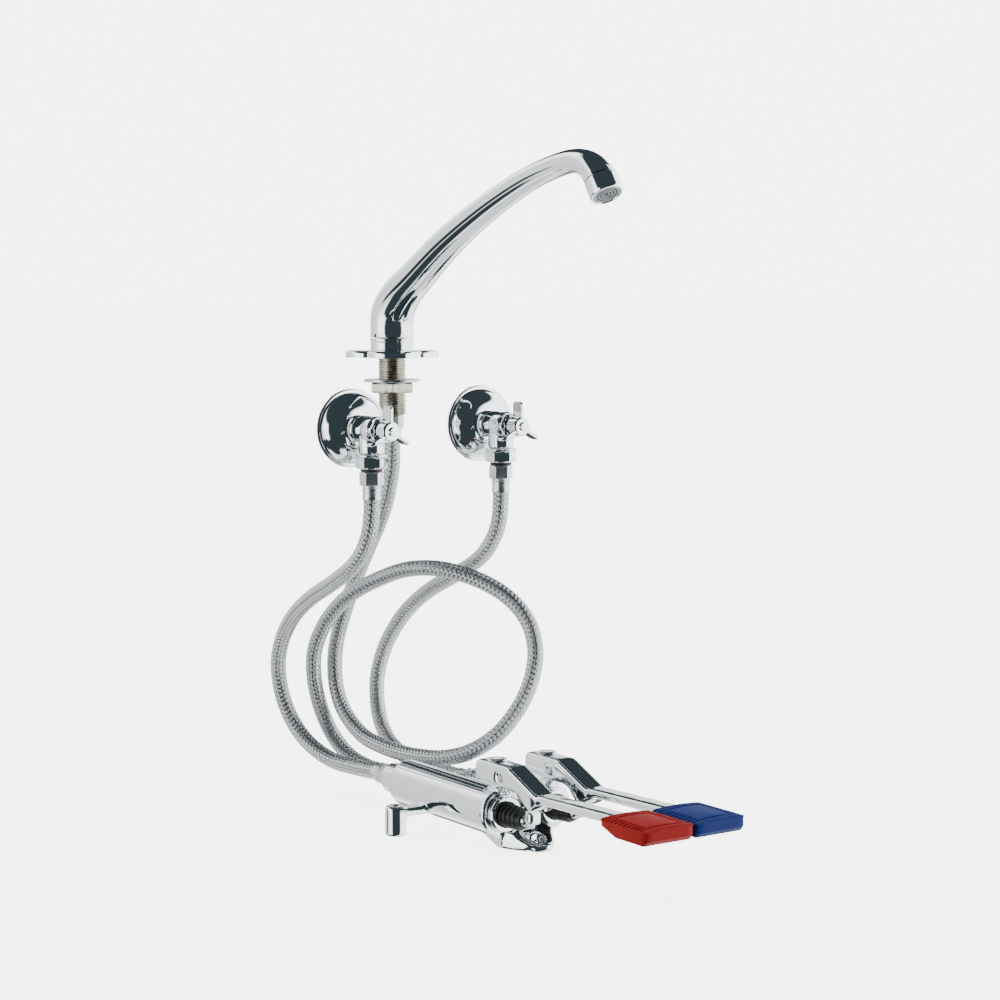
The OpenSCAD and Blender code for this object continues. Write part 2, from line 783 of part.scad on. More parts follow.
// Bracket that holds a pedal pin inside the pedal's channel
module lug(side) {
  across_y(lug_width, pedal_y(side)) {
    polygon([
      [pin_x - 22, barrel_top - 3], [barrel_front, barrel_top - 3], [pin_x + boss_r - 0.5, pin_z - 1.8],
      [pin_x - 1.8, pin_z + boss_r - 0.4]
    ]);
    translate([pin_x, pin_z]) circle(r = boss_r);
  }
}

// Bores of one barrel, from the rear port to the front end
module barrel_bores(side, length) {
  y = pedal_y(side);
  port_end = barrel_front - length - cone_length - port_length;
  rod_x(port_end - 1, seat_x - spring_room + 1, water_r, y, axis_z);
  rod_x(seat_x - spring_room, seat_x, disc_r + 1.5, y, axis_z);
  rod_x(seat_x - 1, seat_x + seat_wall + 1, seat_r, y, axis_z);
  rod_x(seat_x + seat_wall, barrel_front + 1, chamber_r, y, axis_z);
  rod_x(barrel_front, ear_x + ear_r + 1, trough_r, y, axis_z);
}

// Rear post for a floor screw, with the arm that carries it
module post(side) {
  y = side * post_pitch / 2;
  inner = pedal_y(side) + side * (barrel_r - 5);
  translate([post_x, y, floor_z]) cylinder(h = post_height, r = post_r);
  translate([post_x - post_r * 0.7, min(y, inner), floor_z + post_height - post_arm - 2])
    cube([post_r * 1.4, abs(y - inner), post_arm]);
}

module valve_body() {
  color(chrome) difference() {
    union() {
      barrel(HOT, hot_barrel_length);
      barrel(COLD, cold_barrel_length);
      translate([barrel_front - cold_barrel_length, -pedal_pitch / 2, mixer_low])
        cube([cold_barrel_length - 6, pedal_pitch, mixer_top - mixer_low]);
      apron();
      foot_plate();
      rod_x(outlet_port_x, barrel_front - cold_barrel_length + 2, outlet_port_r, outlet_y, outlet_z);
      for (side = [HOT, COLD]) {
        post(side);
        lug(side);
      }
    }
    barrel_bores(HOT, hot_barrel_length);
    barrel_bores(COLD, cold_barrel_length);
    rod_x(outlet_port_x - 1, mix_x, water_r, outlet_y, outlet_z);
    translate([mix_x, -pedal_pitch / 2, axis_z - 4]) rotate([-90, 0, 0])
      cylinder(h = pedal_pitch, r = water_r);
    for (side = [HOT, COLD]) {
      translate([post_x, side * post_pitch / 2, floor_z - 1])
        cylinder(h = post_height + 2, r = post_hole_r);
      translate([pin_x, pedal_y(side) - arm_width, pin_z]) rotate([-90, 0, 0])
        cylinder(h = 2 * arm_width, r = pin_r);
    }
    translate([ear_x, 0, floor_z - 1]) cylinder(h = ear_thick + 2, r = ear_hole_r);
    translate([ear_x, 0, floor_z + ear_thick]) cylinder(h = axis_height, r = 1.7 * ear_hole_r);
  }
}

module gland(side) {
  front = barrel_front + gland_flange_h;
  color(chrome) difference() {
    turned_x([
      [0, barrel_front - gland_depth], [chamber_r - running_gap, barrel_front - gland_depth],
      [chamber_r - running_gap, barrel_front], [gland_flange_r, barrel_front], [gland_flange_r, front - 1.5],
      [gland_flange_r - 1.5, front], [0, front]
    ], pedal_y(side), axis_z);
    rod_x(barrel_front - gland_depth - 1, front + 1, plunger_r + running_gap, pedal_y(side), axis_z);
    rod_x(boot_base, front + 1, boot_r + 0.1, pedal_y(side), axis_z);
  }
}

module plunger(side) {
  guide = barrel_front - gland_depth - 4;
  rear = seat_x - disc_thick - 2;
  dome = asin(plunger_r / tip_round);
  color(steel) turned_x(concat(
    [[0, rear], [disc_hole_r - running_gap, rear], [disc_hole_r - running_gap, seat_x],
      [plunger_waist, seat_x], [plunger_waist, guide], [plunger_r, guide]],
    [for (i = [6:-1:0]) let (a = dome * i / 6) [tip_round * sin(a), tip_x - tip_round + tip_round * cos(a)]]
  ), pedal_y(side), axis_z);
}

module valve_disc(side) {
  color(black_rubber) difference() {
    rod_x(seat_x - disc_thick, seat_x, disc_r, pedal_y(side), axis_z);
    rod_x(seat_x - disc_thick - 1, seat_x + 1, disc_hole_r, pedal_y(side), axis_z);
  }
}

module return_spring(side) {
  color(steel) difference() {
    rod_x(seat_x - spring_room, seat_x - disc_thick, spring_r, pedal_y(side), axis_z);
    rod_x(seat_x - spring_room - 1, seat_x, spring_r - 1.2, pedal_y(side), axis_z);
  }
}

module boot(side) {
  start = boot_base + 4;
  neck = boot_front - 3;
  fold = (neck - start) / boot_folds;
  valley = boot_r - 2.2;
  outer = [for (i = [0:boot_folds - 1], s = [0, 1])
    [s == 0 ? valley : boot_r, start + fold * (i + (s == 0 ? 0 : 0.5))]];
  inner = [for (i = [boot_folds - 1:-1:0], s = [1, 0])
    [(s == 0 ? valley : boot_r) - boot_wall, start + fold * (i + (s == 0 ? 0 : 0.5))]];
  hug = plunger_r + 0.1;
  color(black_rubber) turned_x(concat(
    [[plunger_r + 2, boot_base], [boot_r, boot_base], [boot_r, start - 1]], outer,
    [[hug + boot_wall, neck], [hug + boot_wall, boot_front], [hug, boot_front], [hug, neck - boot_wall]],
    inner,
    [[plunger_r + 2, start - 1]]
  ), pedal_y(side), axis_z);
}

module pivot_pin(side) {
  length = arm_width - 1;
  color(steel) translate([pin_x, pedal_y(side) - length / 2, pin_z]) rotate([-90, 0, 0])
    cylinder(h = length, r = pin_r);
}

module pedal_arm(side) {
  y = pedal_y(side);
  color(chrome) difference() {
    union() {
      across_y(arm_width, y) polygon(concat(
        arc(block_rear + 4, block_top - 4, 4, 180, 90, 4),
        [[slope_x, block_top], [slope_end_x, slope_end_z], [slope_end_x, slope_end_z - bar_thick],
          [pin_x + 38, heel_z], [pin_x + 33, heel_z], [pin_x + 27, heel_z + 3], [pin_x + 21, block_under - 2],
          [pin_x + 16, block_under], [block_rear, block_under]]
      ));
      across_y(bar_width, y) polygon([
        [pin_x + 30, slope_end_z - 2], [slope_end_x, slope_end_z], [pad_rear, bar_low + bar_thick],
        [pad_front - 10, bar_low + bar_thick], [pad_front - 10, bar_low], [pad_rear, bar_low],
        [slope_end_x + 10, bar_low - 1.5], [pin_x + 37, heel_z]
      ]);
      translate([tip_x + clearance, y - finger_width / 2, axis_z - 1.5])
        cube([finger_thick, finger_width, heel_z - axis_z + 10.5]);
    }
    translate([block_rear + cheek, y - arm_width / 2 + cheek, block_under - 1])
      cube([slope_x + 2 - block_rear - cheek, arm_width - 2 * cheek, roof_z - block_under + 1]);
    translate([pin_x, y - arm_width, pin_z]) rotate([-90, 0, 0])
      cylinder(h = 2 * arm_width, r = pin_r + running_gap);
    translate([cap_x, y, roof_z - 1]) cylinder(h = block_top - roof_z + 2, r = cap_peg_r);
  }
}

module arm_cap(side) {
  color(chrome) translate([cap_x, pedal_y(side), block_top]) union() {
    rotate_extrude() polygon(concat(
      [[0, 0], [cap_r, 0]], [for (a = [0:15:90]) [cap_r * cos(a), 0.4 + 1.2 * sin(a)]]));
    translate([0, 0, roof_z - block_top]) cylinder(h = block_top - roof_z + 0.2, r = cap_peg_r - running_gap);
  }
}

module pedal_pad(side) {
  y = pedal_y(side);
  under = pad_top - pad_thick;
  skin = pad_top - rib_h;
  color(side == HOT ? hot_red : cold_blue) difference() {
    union() {
      across_y(pad_width, y) polygon([
        [pad_rear, under + 2], [pad_rear + 4, under], [pad_front - 4, under], [pad_front, under + 3],
        [pad_front, skin - 1], [pad_front - 1, skin], [pad_rear + 1, skin], [pad_rear, skin - 1]
      ]);
      for (i = [0:ribs_each_end - 1],
        x = [pad_rear + 2 + i * rib_pitch, pad_front - 2 - rib_w - i * rib_pitch])
        translate([x, y - pad_width / 2 + 1, skin - 0.5]) cube([rib_w, pad_width - 2, rib_h + 0.5]);
    }
    translate([pad_rear - 1, y - bar_width / 2 - pocket_gap, bar_low - pocket_gap])
      cube([pad_length - 9 + pocket_gap, bar_width + 2 * pocket_gap, bar_thick + 2 * pocket_gap]);
  }
}

deck_flange();
deck_gasket();
spout_stem();
stem_seals();
spout_collar();
clamp_washer();
back_nut();
spout();
spout_screw();
aerator_shell();
aerator_insert();
escutcheon(HOT);  // hot_escutcheon
stop_body(HOT);  // hot_stop_body
stop_bonnet(HOT);  // hot_stop_bonnet
stop_spindle(HOT);  // hot_stop_spindle
stop_jumper(HOT);  // hot_stop_jumper
stop_handle(HOT);  // hot_stop_handle
handle_screw(HOT);  // hot_handle_screw
outlet_adapter(HOT);  // hot_outlet_adapter
outlet_seal(HOT);  // hot_outlet_seal
escutcheon(COLD);  // cold_escutcheon
stop_body(COLD);  // cold_stop_body
stop_bonnet(COLD);  // cold_stop_bonnet
stop_spindle(COLD);  // cold_stop_spindle
stop_jumper(COLD);  // cold_stop_jumper
stop_handle(COLD);  // cold_stop_handle
handle_screw(COLD);  // cold_handle_screw
outlet_adapter(COLD);  // cold_outlet_adapter
outlet_seal(COLD);  // cold_outlet_seal
hot_hose();
hot_hose_nuts();
hot_hose_ferrules();
cold_hose();
cold_hose_nuts();
cold_hose_ferrules();
spout_hose();
spout_hose_nuts();
spout_hose_ferrules();
valve_body();
gland(HOT);  // hot_gland
plunger(HOT);  // hot_plunger
valve_disc(HOT);  // hot_valve_disc
return_spring(HOT);  // hot_return_spring
boot(HOT);  // hot_boot
pivot_pin(HOT);  // hot_pivot_pin
pedal_arm(HOT);  // hot_pedal_arm
arm_cap(HOT);  // hot_arm_cap
pedal_pad(HOT);  // hot_pedal_pad
gland(COLD);  // cold_gland
plunger(COLD);  // cold_plunger
valve_disc(COLD);  // cold_valve_disc
return_spring(COLD);  // cold_return_spring
boot(COLD);  // cold_boot
pivot_pin(COLD);  // cold_pivot_pin
pedal_arm(COLD);  // cold_pedal_arm
arm_cap(COLD);  // cold_arm_cap
pedal_pad(COLD);  // cold_pedal_pad
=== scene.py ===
"""Looks of a foot pedal tap set: deck spout, wall stop valves, braided hoses and floor valve.

Sizes are in millimetres in the frame of the part: the origin on the deck under the spout, X to the
user, Y along the wall, Z up. A mesh is scaled to metres when its piece is made.
"""
import logging
import math
from dataclasses import dataclass
from enum import Enum
from typing import Iterable, Sequence

import bmesh
import bpy
import numpy as np
from mathutils import Matrix, Vector


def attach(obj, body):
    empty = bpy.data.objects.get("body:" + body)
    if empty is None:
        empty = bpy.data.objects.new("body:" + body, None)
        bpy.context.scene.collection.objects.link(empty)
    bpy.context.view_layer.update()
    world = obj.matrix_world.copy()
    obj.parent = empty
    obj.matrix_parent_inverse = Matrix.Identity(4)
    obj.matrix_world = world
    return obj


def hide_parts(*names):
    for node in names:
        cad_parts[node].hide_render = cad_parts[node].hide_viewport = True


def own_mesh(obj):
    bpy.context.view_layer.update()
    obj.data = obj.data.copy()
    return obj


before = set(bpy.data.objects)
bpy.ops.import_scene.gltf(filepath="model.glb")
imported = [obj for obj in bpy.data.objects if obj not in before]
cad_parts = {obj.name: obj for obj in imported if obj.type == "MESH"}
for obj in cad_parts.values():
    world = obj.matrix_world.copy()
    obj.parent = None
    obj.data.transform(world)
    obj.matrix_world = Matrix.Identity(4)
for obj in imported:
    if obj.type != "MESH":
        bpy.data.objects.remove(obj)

LOG = logging.getLogger("tap_set")
MM = 0.001
FLOOR_Z = -328.0
# Pitch and depth of the G 1/2 pipe thread
PIPE_PITCH = 1.814
PIPE_THREAD = 1.16
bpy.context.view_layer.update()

Outline = Sequence[tuple[float, float]]
Point = tuple[float, float, float]


class Slot(Enum):
    """Material slots of the part's record."""

    CHROME = "chrome"
    STEEL = "steel"
    BRASS = "brass"
    BLACK_RUBBER = "black_rubber"
    BRAID = "braided_hose"
    RED_RUBBER = "red_rubber"
    BLUE_RUBBER = "blue_rubber"
    GREY_PLASTIC = "grey_plastic"


class Side(Enum):
    """The two water sides, each with the word that starts the names of its pieces."""

    HOT = "hot"
    COLD = "cold"


class Zone(Enum):
    """Zones of a pad's section: its underside, its ribs, and the ribs that stop at the panel."""

    UNDER = "under"
    RIB = "rib"
    PANEL = "panel"


def linear(code: str) -> tuple[float, float, float, float]:
    """Turn an sRGB hex colour into linear light.

    Args:
        code: colour such as "#b5261f".

    Returns:
        Red, green, blue and a full alpha.
    """
    parts = [int(code[i:i + 2], 16) / 255 for i in (1, 3, 5)]
    red, green, blue = (c / 12.92 if c <= 0.04045 else ((c + 0.055) / 1.055) ** 2.4 for c in parts)
    return (red, green, blue, 1.0)


def add(tree: bpy.types.NodeTree, kind: str, inputs: dict | None = None,
        **settings: object) -> bpy.types.Node:
    """Add a node, set it up and fill or link its inputs.

    Args:
        tree: node tree that takes the node.
        kind: Blender's type name of the node.
        inputs: values or output sockets by input name or number.
        settings: properties of the node.

    Returns:
        The new node.
    """
    node = tree.nodes.new(kind)
    for key, value in settings.items():
        setattr(node, key, value)
    for key, value in (inputs or {}).items():
        if isinstance(value, bpy.types.NodeSocket):
            tree.links.new(value, node.inputs[key])
        else:
            node.inputs[key].default_value = value
    return node


@dataclass(frozen=True)
class Finish:
    """A finish: its material's name, its slot in the record, its colour and its gloss."""

    name: str
    slot: Slot
    colour: str
    roughness: float

    def material(self) -> bpy.types.Material:
        """Make the finish's material the first time it is asked for.

        Returns:
            The material.
        """
        made = bpy.data.materials.get(self.name)
        if made:
            return made
        material = bpy.data.materials.new(self.name)
        material.use_nodes = True
        material.diffuse_color = linear(self.colour)
        tree = material.node_tree
        shader = tree.nodes["Principled BSDF"]
        shader.inputs["Base Color"].default_value = linear(self.colour)
        shader.inputs["Roughness"].default_value = self.roughness
        self.dress(tree, shader)
        return material

    def dress(self, tree: bpy.types.NodeTree, shader: bpy.types.Node) -> None:
        """Add the finish's own detail to its material.

        Args:
            tree: the material's node tree.
            shader: its Principled shader.
        """

    def grain(self, tree: bpy.types.NodeTree, size: float, detail: float = 2.0) -> bpy.types.Node:
        """Add noise on object coordinates.

        Args:
            tree: the material's node tree.
            size: size of a blotch in millimetres.
            detail: octaves of the noise.

        Returns:
            The noise node.
        """
        place = add(tree, "ShaderNodeTexCoord")
        return add(tree, "ShaderNodeTexNoise", {"Vector": place.outputs["Object"], "Scale": 1 / (size * MM),
                                                "Detail": detail, "Roughness": 0.55})

    def gloss(self, tree: bpy.types.NodeTree, shader: bpy.types.Node, noise: bpy.types.Node,
              extra: float) -> None:
        """Make the gloss uneven.

        Args:
            tree: the material's node tree.
            shader: its Principled shader.
            noise: noise node whose middle is spread over the gloss.
            extra: roughness that the dullest spots gain.
        """
        ranged = add(tree, "ShaderNodeMapRange", {
            "Value": noise.outputs["Fac"], "From Min": 0.3, "From Max": 0.7,
            "To Min": self.roughness, "To Max": self.roughness + extra})
        tree.links.new(ranged.outputs["Result"], shader.inputs["Roughness"])

    def tones(self, tree: bpy.types.NodeTree, shader: bpy.types.Node, source: bpy.types.NodeSocket,
              *stops: tuple[float, str]) -> None:
        """Colour the surface with a ramp of two tones.

        Args:
            tree: the material's node tree.
            shader: its Principled shader.
            source: output socket that runs along the ramp.
            stops: place on the ramp and colour of each tone.
        """
        ramp = add(tree, "ShaderNodeValToRGB", {"Fac": source})
        for element, (place, colour) in zip(ramp.color_ramp.elements, stops):
            element.position = place
            element.color = linear(colour)
        tree.links.new(ramp.outputs["Color"], shader.inputs["Base Color"])

    def bump(self, tree: bpy.types.NodeTree, shader: bpy.types.Node, height: bpy.types.NodeSocket,
             depth: float, strength: float) -> None:
        """Press a height into the surface.

        Args:
            tree: the material's node tree.
            shader: its Principled shader.
            height: output socket that holds the height from 0 to 1.
            depth: depth of the relief in millimetres.
            strength: share of the relief that shows.
        """
        relief = add(tree, "ShaderNodeBump", {"Height": height, "Distance": depth * MM, "Strength": strength})
        tree.links.new(relief.outputs["Normal"], shader.inputs["Normal"])


@dataclass(frozen=True)
class ChromePlate(Finish):
    """Bright chrome on polished brass: a mirror, with faint smears and the waviness of hand polishing."""

    wave: float = 14.0
    wave_depth: float = 0.004
    smear: float = 0.03

    def dress(self, tree: bpy.types.NodeTree, shader: bpy.types.Node) -> None:
        """Add smears to the gloss and a slow wave to the mirror.

        Args:
            tree: the material's node tree.
            shader: its Principled shader.
        """
        shader.inputs["Metallic"].default_value = 1.0
        smear = self.grain(tree, 22.0, 5.0)
        self.gloss(tree, shader, smear, self.smear)
        wave = self.grain(tree, self.wave, 1.0)
        self.bump(tree, shader, wave.outputs["Fac"], self.wave_depth, 0.5)


@dataclass(frozen=True)
class TurnedMetal(Finish):
    """Bare metal from the lathe: satin, with fine tool rings and slightly uneven tone."""

    ring: float = 0.5
    dark: str = "#6f7375"

    def dress(self, tree: bpy.types.NodeTree, shader: bpy.types.Node) -> None:
        """Add tone, gloss and fine tool marks, drawn coarser than real so that they show.

        Args:
            tree: the material's node tree.
            shader: its Principled shader.
        """
        shader.inputs["Metallic"].default_value = 1.0
        tone = self.grain(tree, 5.0, 4.0)
        self.tones(tree, shader, tone.outputs["Fac"], (0.25, self.dark), (0.55, self.colour))
        self.gloss(tree, shader, tone, 0.12)
        marks = self.grain(tree, self.ring, 1.0)
        self.bump(tree, shader, marks.outputs["Fac"], 0.03, 0.35)


@dataclass(frozen=True)
class BraidWire(Finish):
    """Flat bundles of drawn stainless wire: the metal's own bright colour along each wire, and painted shade
    dark in the grooves between wires.
    """

    wires: int = 5
    # dark colour painted into the grooves between wires as their shade
    painted_groove_shade: str = "#303437"

    def dress(self, tree: bpy.types.NodeTree, shader: bpy.types.Node) -> None:
        """Draw the wires of a bundle across its own UV map, with shade painted dark into the grooves between
        them.

        Args:
            tree: the material's node tree.
            shader: its Principled shader.
        """
        shader.inputs["Metallic"].default_value = 1.0
        place = add(tree, "ShaderNodeTexCoord")
        split = add(tree, "ShaderNodeSeparateXYZ", {"Vector": place.outputs["UV"]})
        turn = add(tree, "ShaderNodeMath", {0: split.outputs["X"], 1: self.wires * math.tau},
                   operation="MULTIPLY")
        wave = add(tree, "ShaderNodeMath", {0: turn.outputs[0]}, operation="COSINE")
        height = add(tree, "ShaderNodeMapRange", {"Value": wave.outputs[0], "From Min": -1.0, "From Max": 1.0,
                                                  "To Min": 1.0, "To Max": 0.0})
        # painted shade: the grooves between wires are coloured dark, the middle of each wire keeps the
        # metal's colour
        self.tones(tree, shader, height.outputs["Result"], (0.0, self.painted_groove_shade), (0.6, self.colour))
        self.gloss(tree, shader, self.grain(tree, 7.0), 0.1)
        self.bump(tree, shader, height.outputs["Result"], 0.12, 0.7)


@dataclass(frozen=True)
class MouldedRubber(Finish):
    """Moulded rubber: satin, with a fine spark-eroded grain, paler where it is rubbed."""

    rubbed: str = "#3a3d3f"
    texture: float = 0.7
    specular: float = 0.35

    def dress(self, tree: bpy.types.NodeTree, shader: bpy.types.Node) -> None:
        """Add blotches of tone, uneven gloss and the mould's grain.

        Args:
            tree: the material's node tree.
            shader: its Principled shader.
        """
        shader.inputs["Specular IOR Level"].default_value = self.specular
        blotch = self.grain(tree, 9.0, 5.0)
        self.tones(tree, shader, blotch.outputs["Fac"], (0.42, self.colour), (0.8, self.rubbed))
        self.gloss(tree, shader, blotch, 0.12)
        mould = self.grain(tree, self.texture, 3.0)
        self.bump(tree, shader, mould.outputs["Fac"], 0.08, 0.45)


@dataclass(frozen=True)
class StudioPaper(Finish):
    """Matt white paper of the studio floor, lit from below as well, with the least unevenness."""

    glow: float = 4.4

    def dress(self, tree: bpy.types.NodeTree, shader: bpy.types.Node) -> None:
        """Add a faint fibre and the glow of light through the paper.

        Args:
            tree: the material's node tree.
            shader: its Principled shader.
        """
        shader.inputs["Emission Color"].default_value = linear("#ffffff")
        shader.inputs["Emission Strength"].default_value = self.glow
        fibre = self.grain(tree, 3.0, 3.0)
        self.bump(tree, shader, fibre.outputs["Fac"], 0.02, 0.2)


CHROME = ChromePlate("bright_chrome_on_turned_brass", Slot.CHROME, "#e6eaec", 0.03)
CAST_CHROME = ChromePlate("bright_chrome_on_cast_brass", Slot.CHROME, "#e3e7e9", 0.045,
                          wave=18.0, wave_depth=0.012)
SATIN_CHROME = ChromePlate("satin_chrome_on_turned_brass", Slot.CHROME, "#d2d6d8", 0.34)
STEEL = TurnedMetal("stainless_steel_turned", Slot.STEEL, "#c3c7c9", 0.22)
CRIMPED = TurnedMetal("stainless_steel_crimped", Slot.STEEL, "#d8dbdd", 0.27, dark="#b4b8ba")
BRASS = TurnedMetal("brass_turned", Slot.BRASS, "#c9a85c", 0.25, dark="#8f743a")
NICKEL = TurnedMetal("dull_nickel_plate_on_brass", Slot.BRASS, "#bdb8ab", 0.26, dark="#8f8a7e")
BRAID = BraidWire("stainless_wire_braid", Slot.BRAID, "#d9dddf", 0.17)
LINER = MouldedRubber("rubber_hose_liner", Slot.BRAID, "#2b2e30", 0.6)
BLACK_RUBBER = MouldedRubber("black_rubber_moulded", Slot.BLACK_RUBBER, "#17191a", 0.42)
RED_RUBBER = MouldedRubber("red_rubber_moulded", Slot.RED_RUBBER, "#8d0d0a", 0.55, rubbed="#9a1913",
                           specular=0.14)
BLUE_RUBBER = MouldedRubber("blue_rubber_moulded", Slot.BLUE_RUBBER, "#13276a", 0.55, rubbed="#1d337c",
                            specular=0.14)
GREY_PLASTIC = MouldedRubber("grey_acetal_moulded", Slot.GREY_PLASTIC, "#8d9396", 0.35, rubbed="#9da3a6")
PAPER = StudioPaper("white_studio_paper", Slot.CHROME, "#f7f7f7", 0.9)

TO_X = Matrix.Rotation(math.pi / 2, 4, "Y")
TO_DOWN = Matrix.Rotation(math.pi, 4, "X")
TO_Y = Matrix.Rotation(-math.pi / 2, 4, "X")


def at(x: float, y: float, z: float) -> Matrix:
    """Return a move to a place in millimetres."""
    return Matrix.Translation((x, y, z))


def turned(outline: Outline, steps: int = 64) -> bmesh.types.BMesh:
    """Spin an outline about Z into a closed skin.

    Args:
        outline: radius and height of each corner. Where it doesn't start and end on the axis, its last
            corner joins its first, which leaves a bore.
        steps: steps of a full turn.

    Returns:
        The turned shape.
    """
    bm = bmesh.new()
    verts = [bm.verts.new((r, 0.0, h)) for r, h in outline]
    pairs = list(zip(verts, verts[1:]))
    if outline[0][0] > 0 or outline[-1][0] > 0:
        pairs.append((verts[-1], verts[0]))
    edges = [bm.edges.new(pair) for pair in pairs]
    bmesh.ops.spin(bm, geom=verts + edges, cent=(0, 0, 0), axis=(0, 0, 1), dvec=(0, 0, 0), angle=math.tau,
                   steps=steps, use_merge=True, use_normal_flip=False, use_duplicate=False)
    bmesh.ops.remove_doubles(bm, verts=bm.verts, dist=1e-4)
    bmesh.ops.recalc_face_normals(bm, faces=bm.faces)
    return bm


def eased(outline: Outline, radius: float, cuts: int = 3) -> list[tuple[float, float]]:
    """Round the corners of an outline that lie off the axis.

    Args:
        outline: radius and height of each corner.
        radius: reach of each rounding along its two edges, in millimetres.
        cuts: points on a rounding.

    Returns:
        The rounded outline.
    """
    count = len(outline)
    whole = outline[0][0] > 0 or outline[-1][0] > 0
    points: list[tuple[float, float]] = []
    for i, corner in enumerate(outline):
        here = Vector(corner)
        if corner[0] <= 0 or (not whole and i in (0, count - 1)):
            points.append(corner)
            continue
        before, after = Vector(outline[i - 1]), Vector(outline[(i + 1) % count])
        into, out = before - here, after - here
        reach = min(radius, into.length * 0.45, out.length * 0.45)
        start, end = here + into.normalized() * reach, here + out.normalized() * reach
        for k in range(cuts + 1):
            t = k / cuts
            spot = (1 - t) ** 2 * start + 2 * t * (1 - t) * here + t * t * end
            points.append((spot.x, spot.y))
    return points


def press_flats(bm: bmesh.types.BMesh, across: float) -> bmesh.types.BMesh:
    """Press six flats into a shape turned about Z, as on a nut.

    Args:
        bm: the turned shape.
        across: width across the flats in millimetres.

    Returns:
        The same shape.
    """
    third = math.pi / 3
    for vert in bm.verts:
        angle = (math.atan2(vert.co.y, vert.co.x) + third / 2) % third - third / 2
        limit = across / 2 / math.cos(angle)
        reach = math.hypot(vert.co.x, vert.co.y)
        if reach > limit:
            vert.co.xy *= limit / reach
    return bm


def hexagon(across: float, low: float, high: float, bore: float, cone: float = 0.9) -> bmesh.types.BMesh:
    """Make a nut with turned cones at both ends.

    Args:
        across: width across the flats.
        low: lower end on its axis Z.
        high: upper end.
        bore: radius of the hole, or 0.
        cone: height of the cones.

    Returns:
        The nut.
    """
    corner = across / math.sqrt(3)
    inner = across / 2 - 0.35
    ring = [(inner, low), (corner, low + cone), (corner, high - cone), (inner, high)]
    outline = [(bore, low)] + ring + [(bore, high)]
    return press_flats(turned(outline, 72), across)


def threaded(radius: float, length: float, bore: float) -> bmesh.types.BMesh:
    """Make a rod with a pipe thread along Z, from 0 to its length.

    Args:
        radius: radius over the crests.
        length: length of the rod.
        bore: radius of the blind bore in the lower end.

    Returns:
        The closed rod.
    """
    bm = bmesh.new()
    steps, pitch, depth = 40, PIPE_PITCH, PIPE_THREAD
    turns = math.ceil(length / pitch) + 2
    root = radius - depth
    tooth = [(root, 0.0), (root, 0.12), (radius, 0.42), (radius, 0.58), (root, 0.88), (root, 1.0)]
    verts = [bm.verts.new((r, 0.0, (share - 1) * pitch)) for r, share in tooth]
    edges = [bm.edges.new(pair) for pair in zip(verts, verts[1:])]
    bmesh.ops.spin(bm, geom=verts + edges, cent=(0, 0, 0), axis=(0, 0, 1), dvec=(0, 0, pitch / steps),
                   angle=math.tau * turns, steps=steps * turns, use_merge=False, use_normal_flip=False,
                   use_duplicate=False)
    bmesh.ops.remove_doubles(bm, verts=bm.verts, dist=1e-3)
    for height, way in ((0.0, -1.0), (length, 1.0)):
        cut = bmesh.ops.bisect_plane(bm, geom=bm.verts[:] + bm.edges[:] + bm.faces[:], dist=1e-5,
                                     plane_co=(0, 0, height), plane_no=(0, 0, way), clear_outer=True)
        rim = [e for e in cut["geom_cut"] if isinstance(e, bmesh.types.BMEdge)]
        cap = bmesh.ops.contextual_create(bm, geom=rim)["faces"]
        if way < 0:
            bmesh.ops.inset_region(bm, faces=cap, thickness=root - bore, use_even_offset=True)
            deep = bmesh.ops.extrude_face_region(bm, geom=cap)["geom"]
            inner = [v for v in deep if isinstance(v, bmesh.types.BMVert)]
            bmesh.ops.delete(bm, geom=cap, context="FACES_ONLY")
            bmesh.ops.translate(bm, verts=inner, vec=(0, 0, 0.7 * length))
    bmesh.ops.recalc_face_normals(bm, faces=bm.faces)
    return bm


def placed(bm: bmesh.types.BMesh, *moves: Matrix) -> bmesh.types.BMesh:
    """Apply moves to a shape, the last one first.

    Args:
        bm: the shape.
        moves: the moves.

    Returns:
        The same shape.
    """
    matrix = Matrix.Identity(4)
    for move in moves:
        matrix = matrix @ move
    bmesh.ops.transform(bm, matrix=matrix, verts=bm.verts)
    return bm


def joined(parts: Iterable[bmesh.types.BMesh]) -> bmesh.types.BMesh:
    """Put shapes into one.

    Args:
        parts: the shapes, which are used up.

    Returns:
        The whole.
    """
    whole = bmesh.new()
    for part in parts:
        mesh = bpy.data.meshes.new("part")
        part.to_mesh(mesh)
        part.free()
        whole.from_mesh(mesh)
        bpy.data.meshes.remove(mesh)
    return whole


def cad_copy(*nodes: str) -> bmesh.types.BMesh:
    """Copy CAD nodes and merge their loose triangles.

    Args:
        nodes: names of the nodes.

    Returns:
        The copy, in millimetres.
    """
    bm = bmesh.new()
    for node in nodes:
        bm.from_mesh(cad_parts[node].data)
    bmesh.ops.scale(bm, vec=(1 / MM,) * 3, verts=bm.verts)
    bmesh.ops.remove_doubles(bm, verts=bm.verts, dist=1e-3)
    return bm


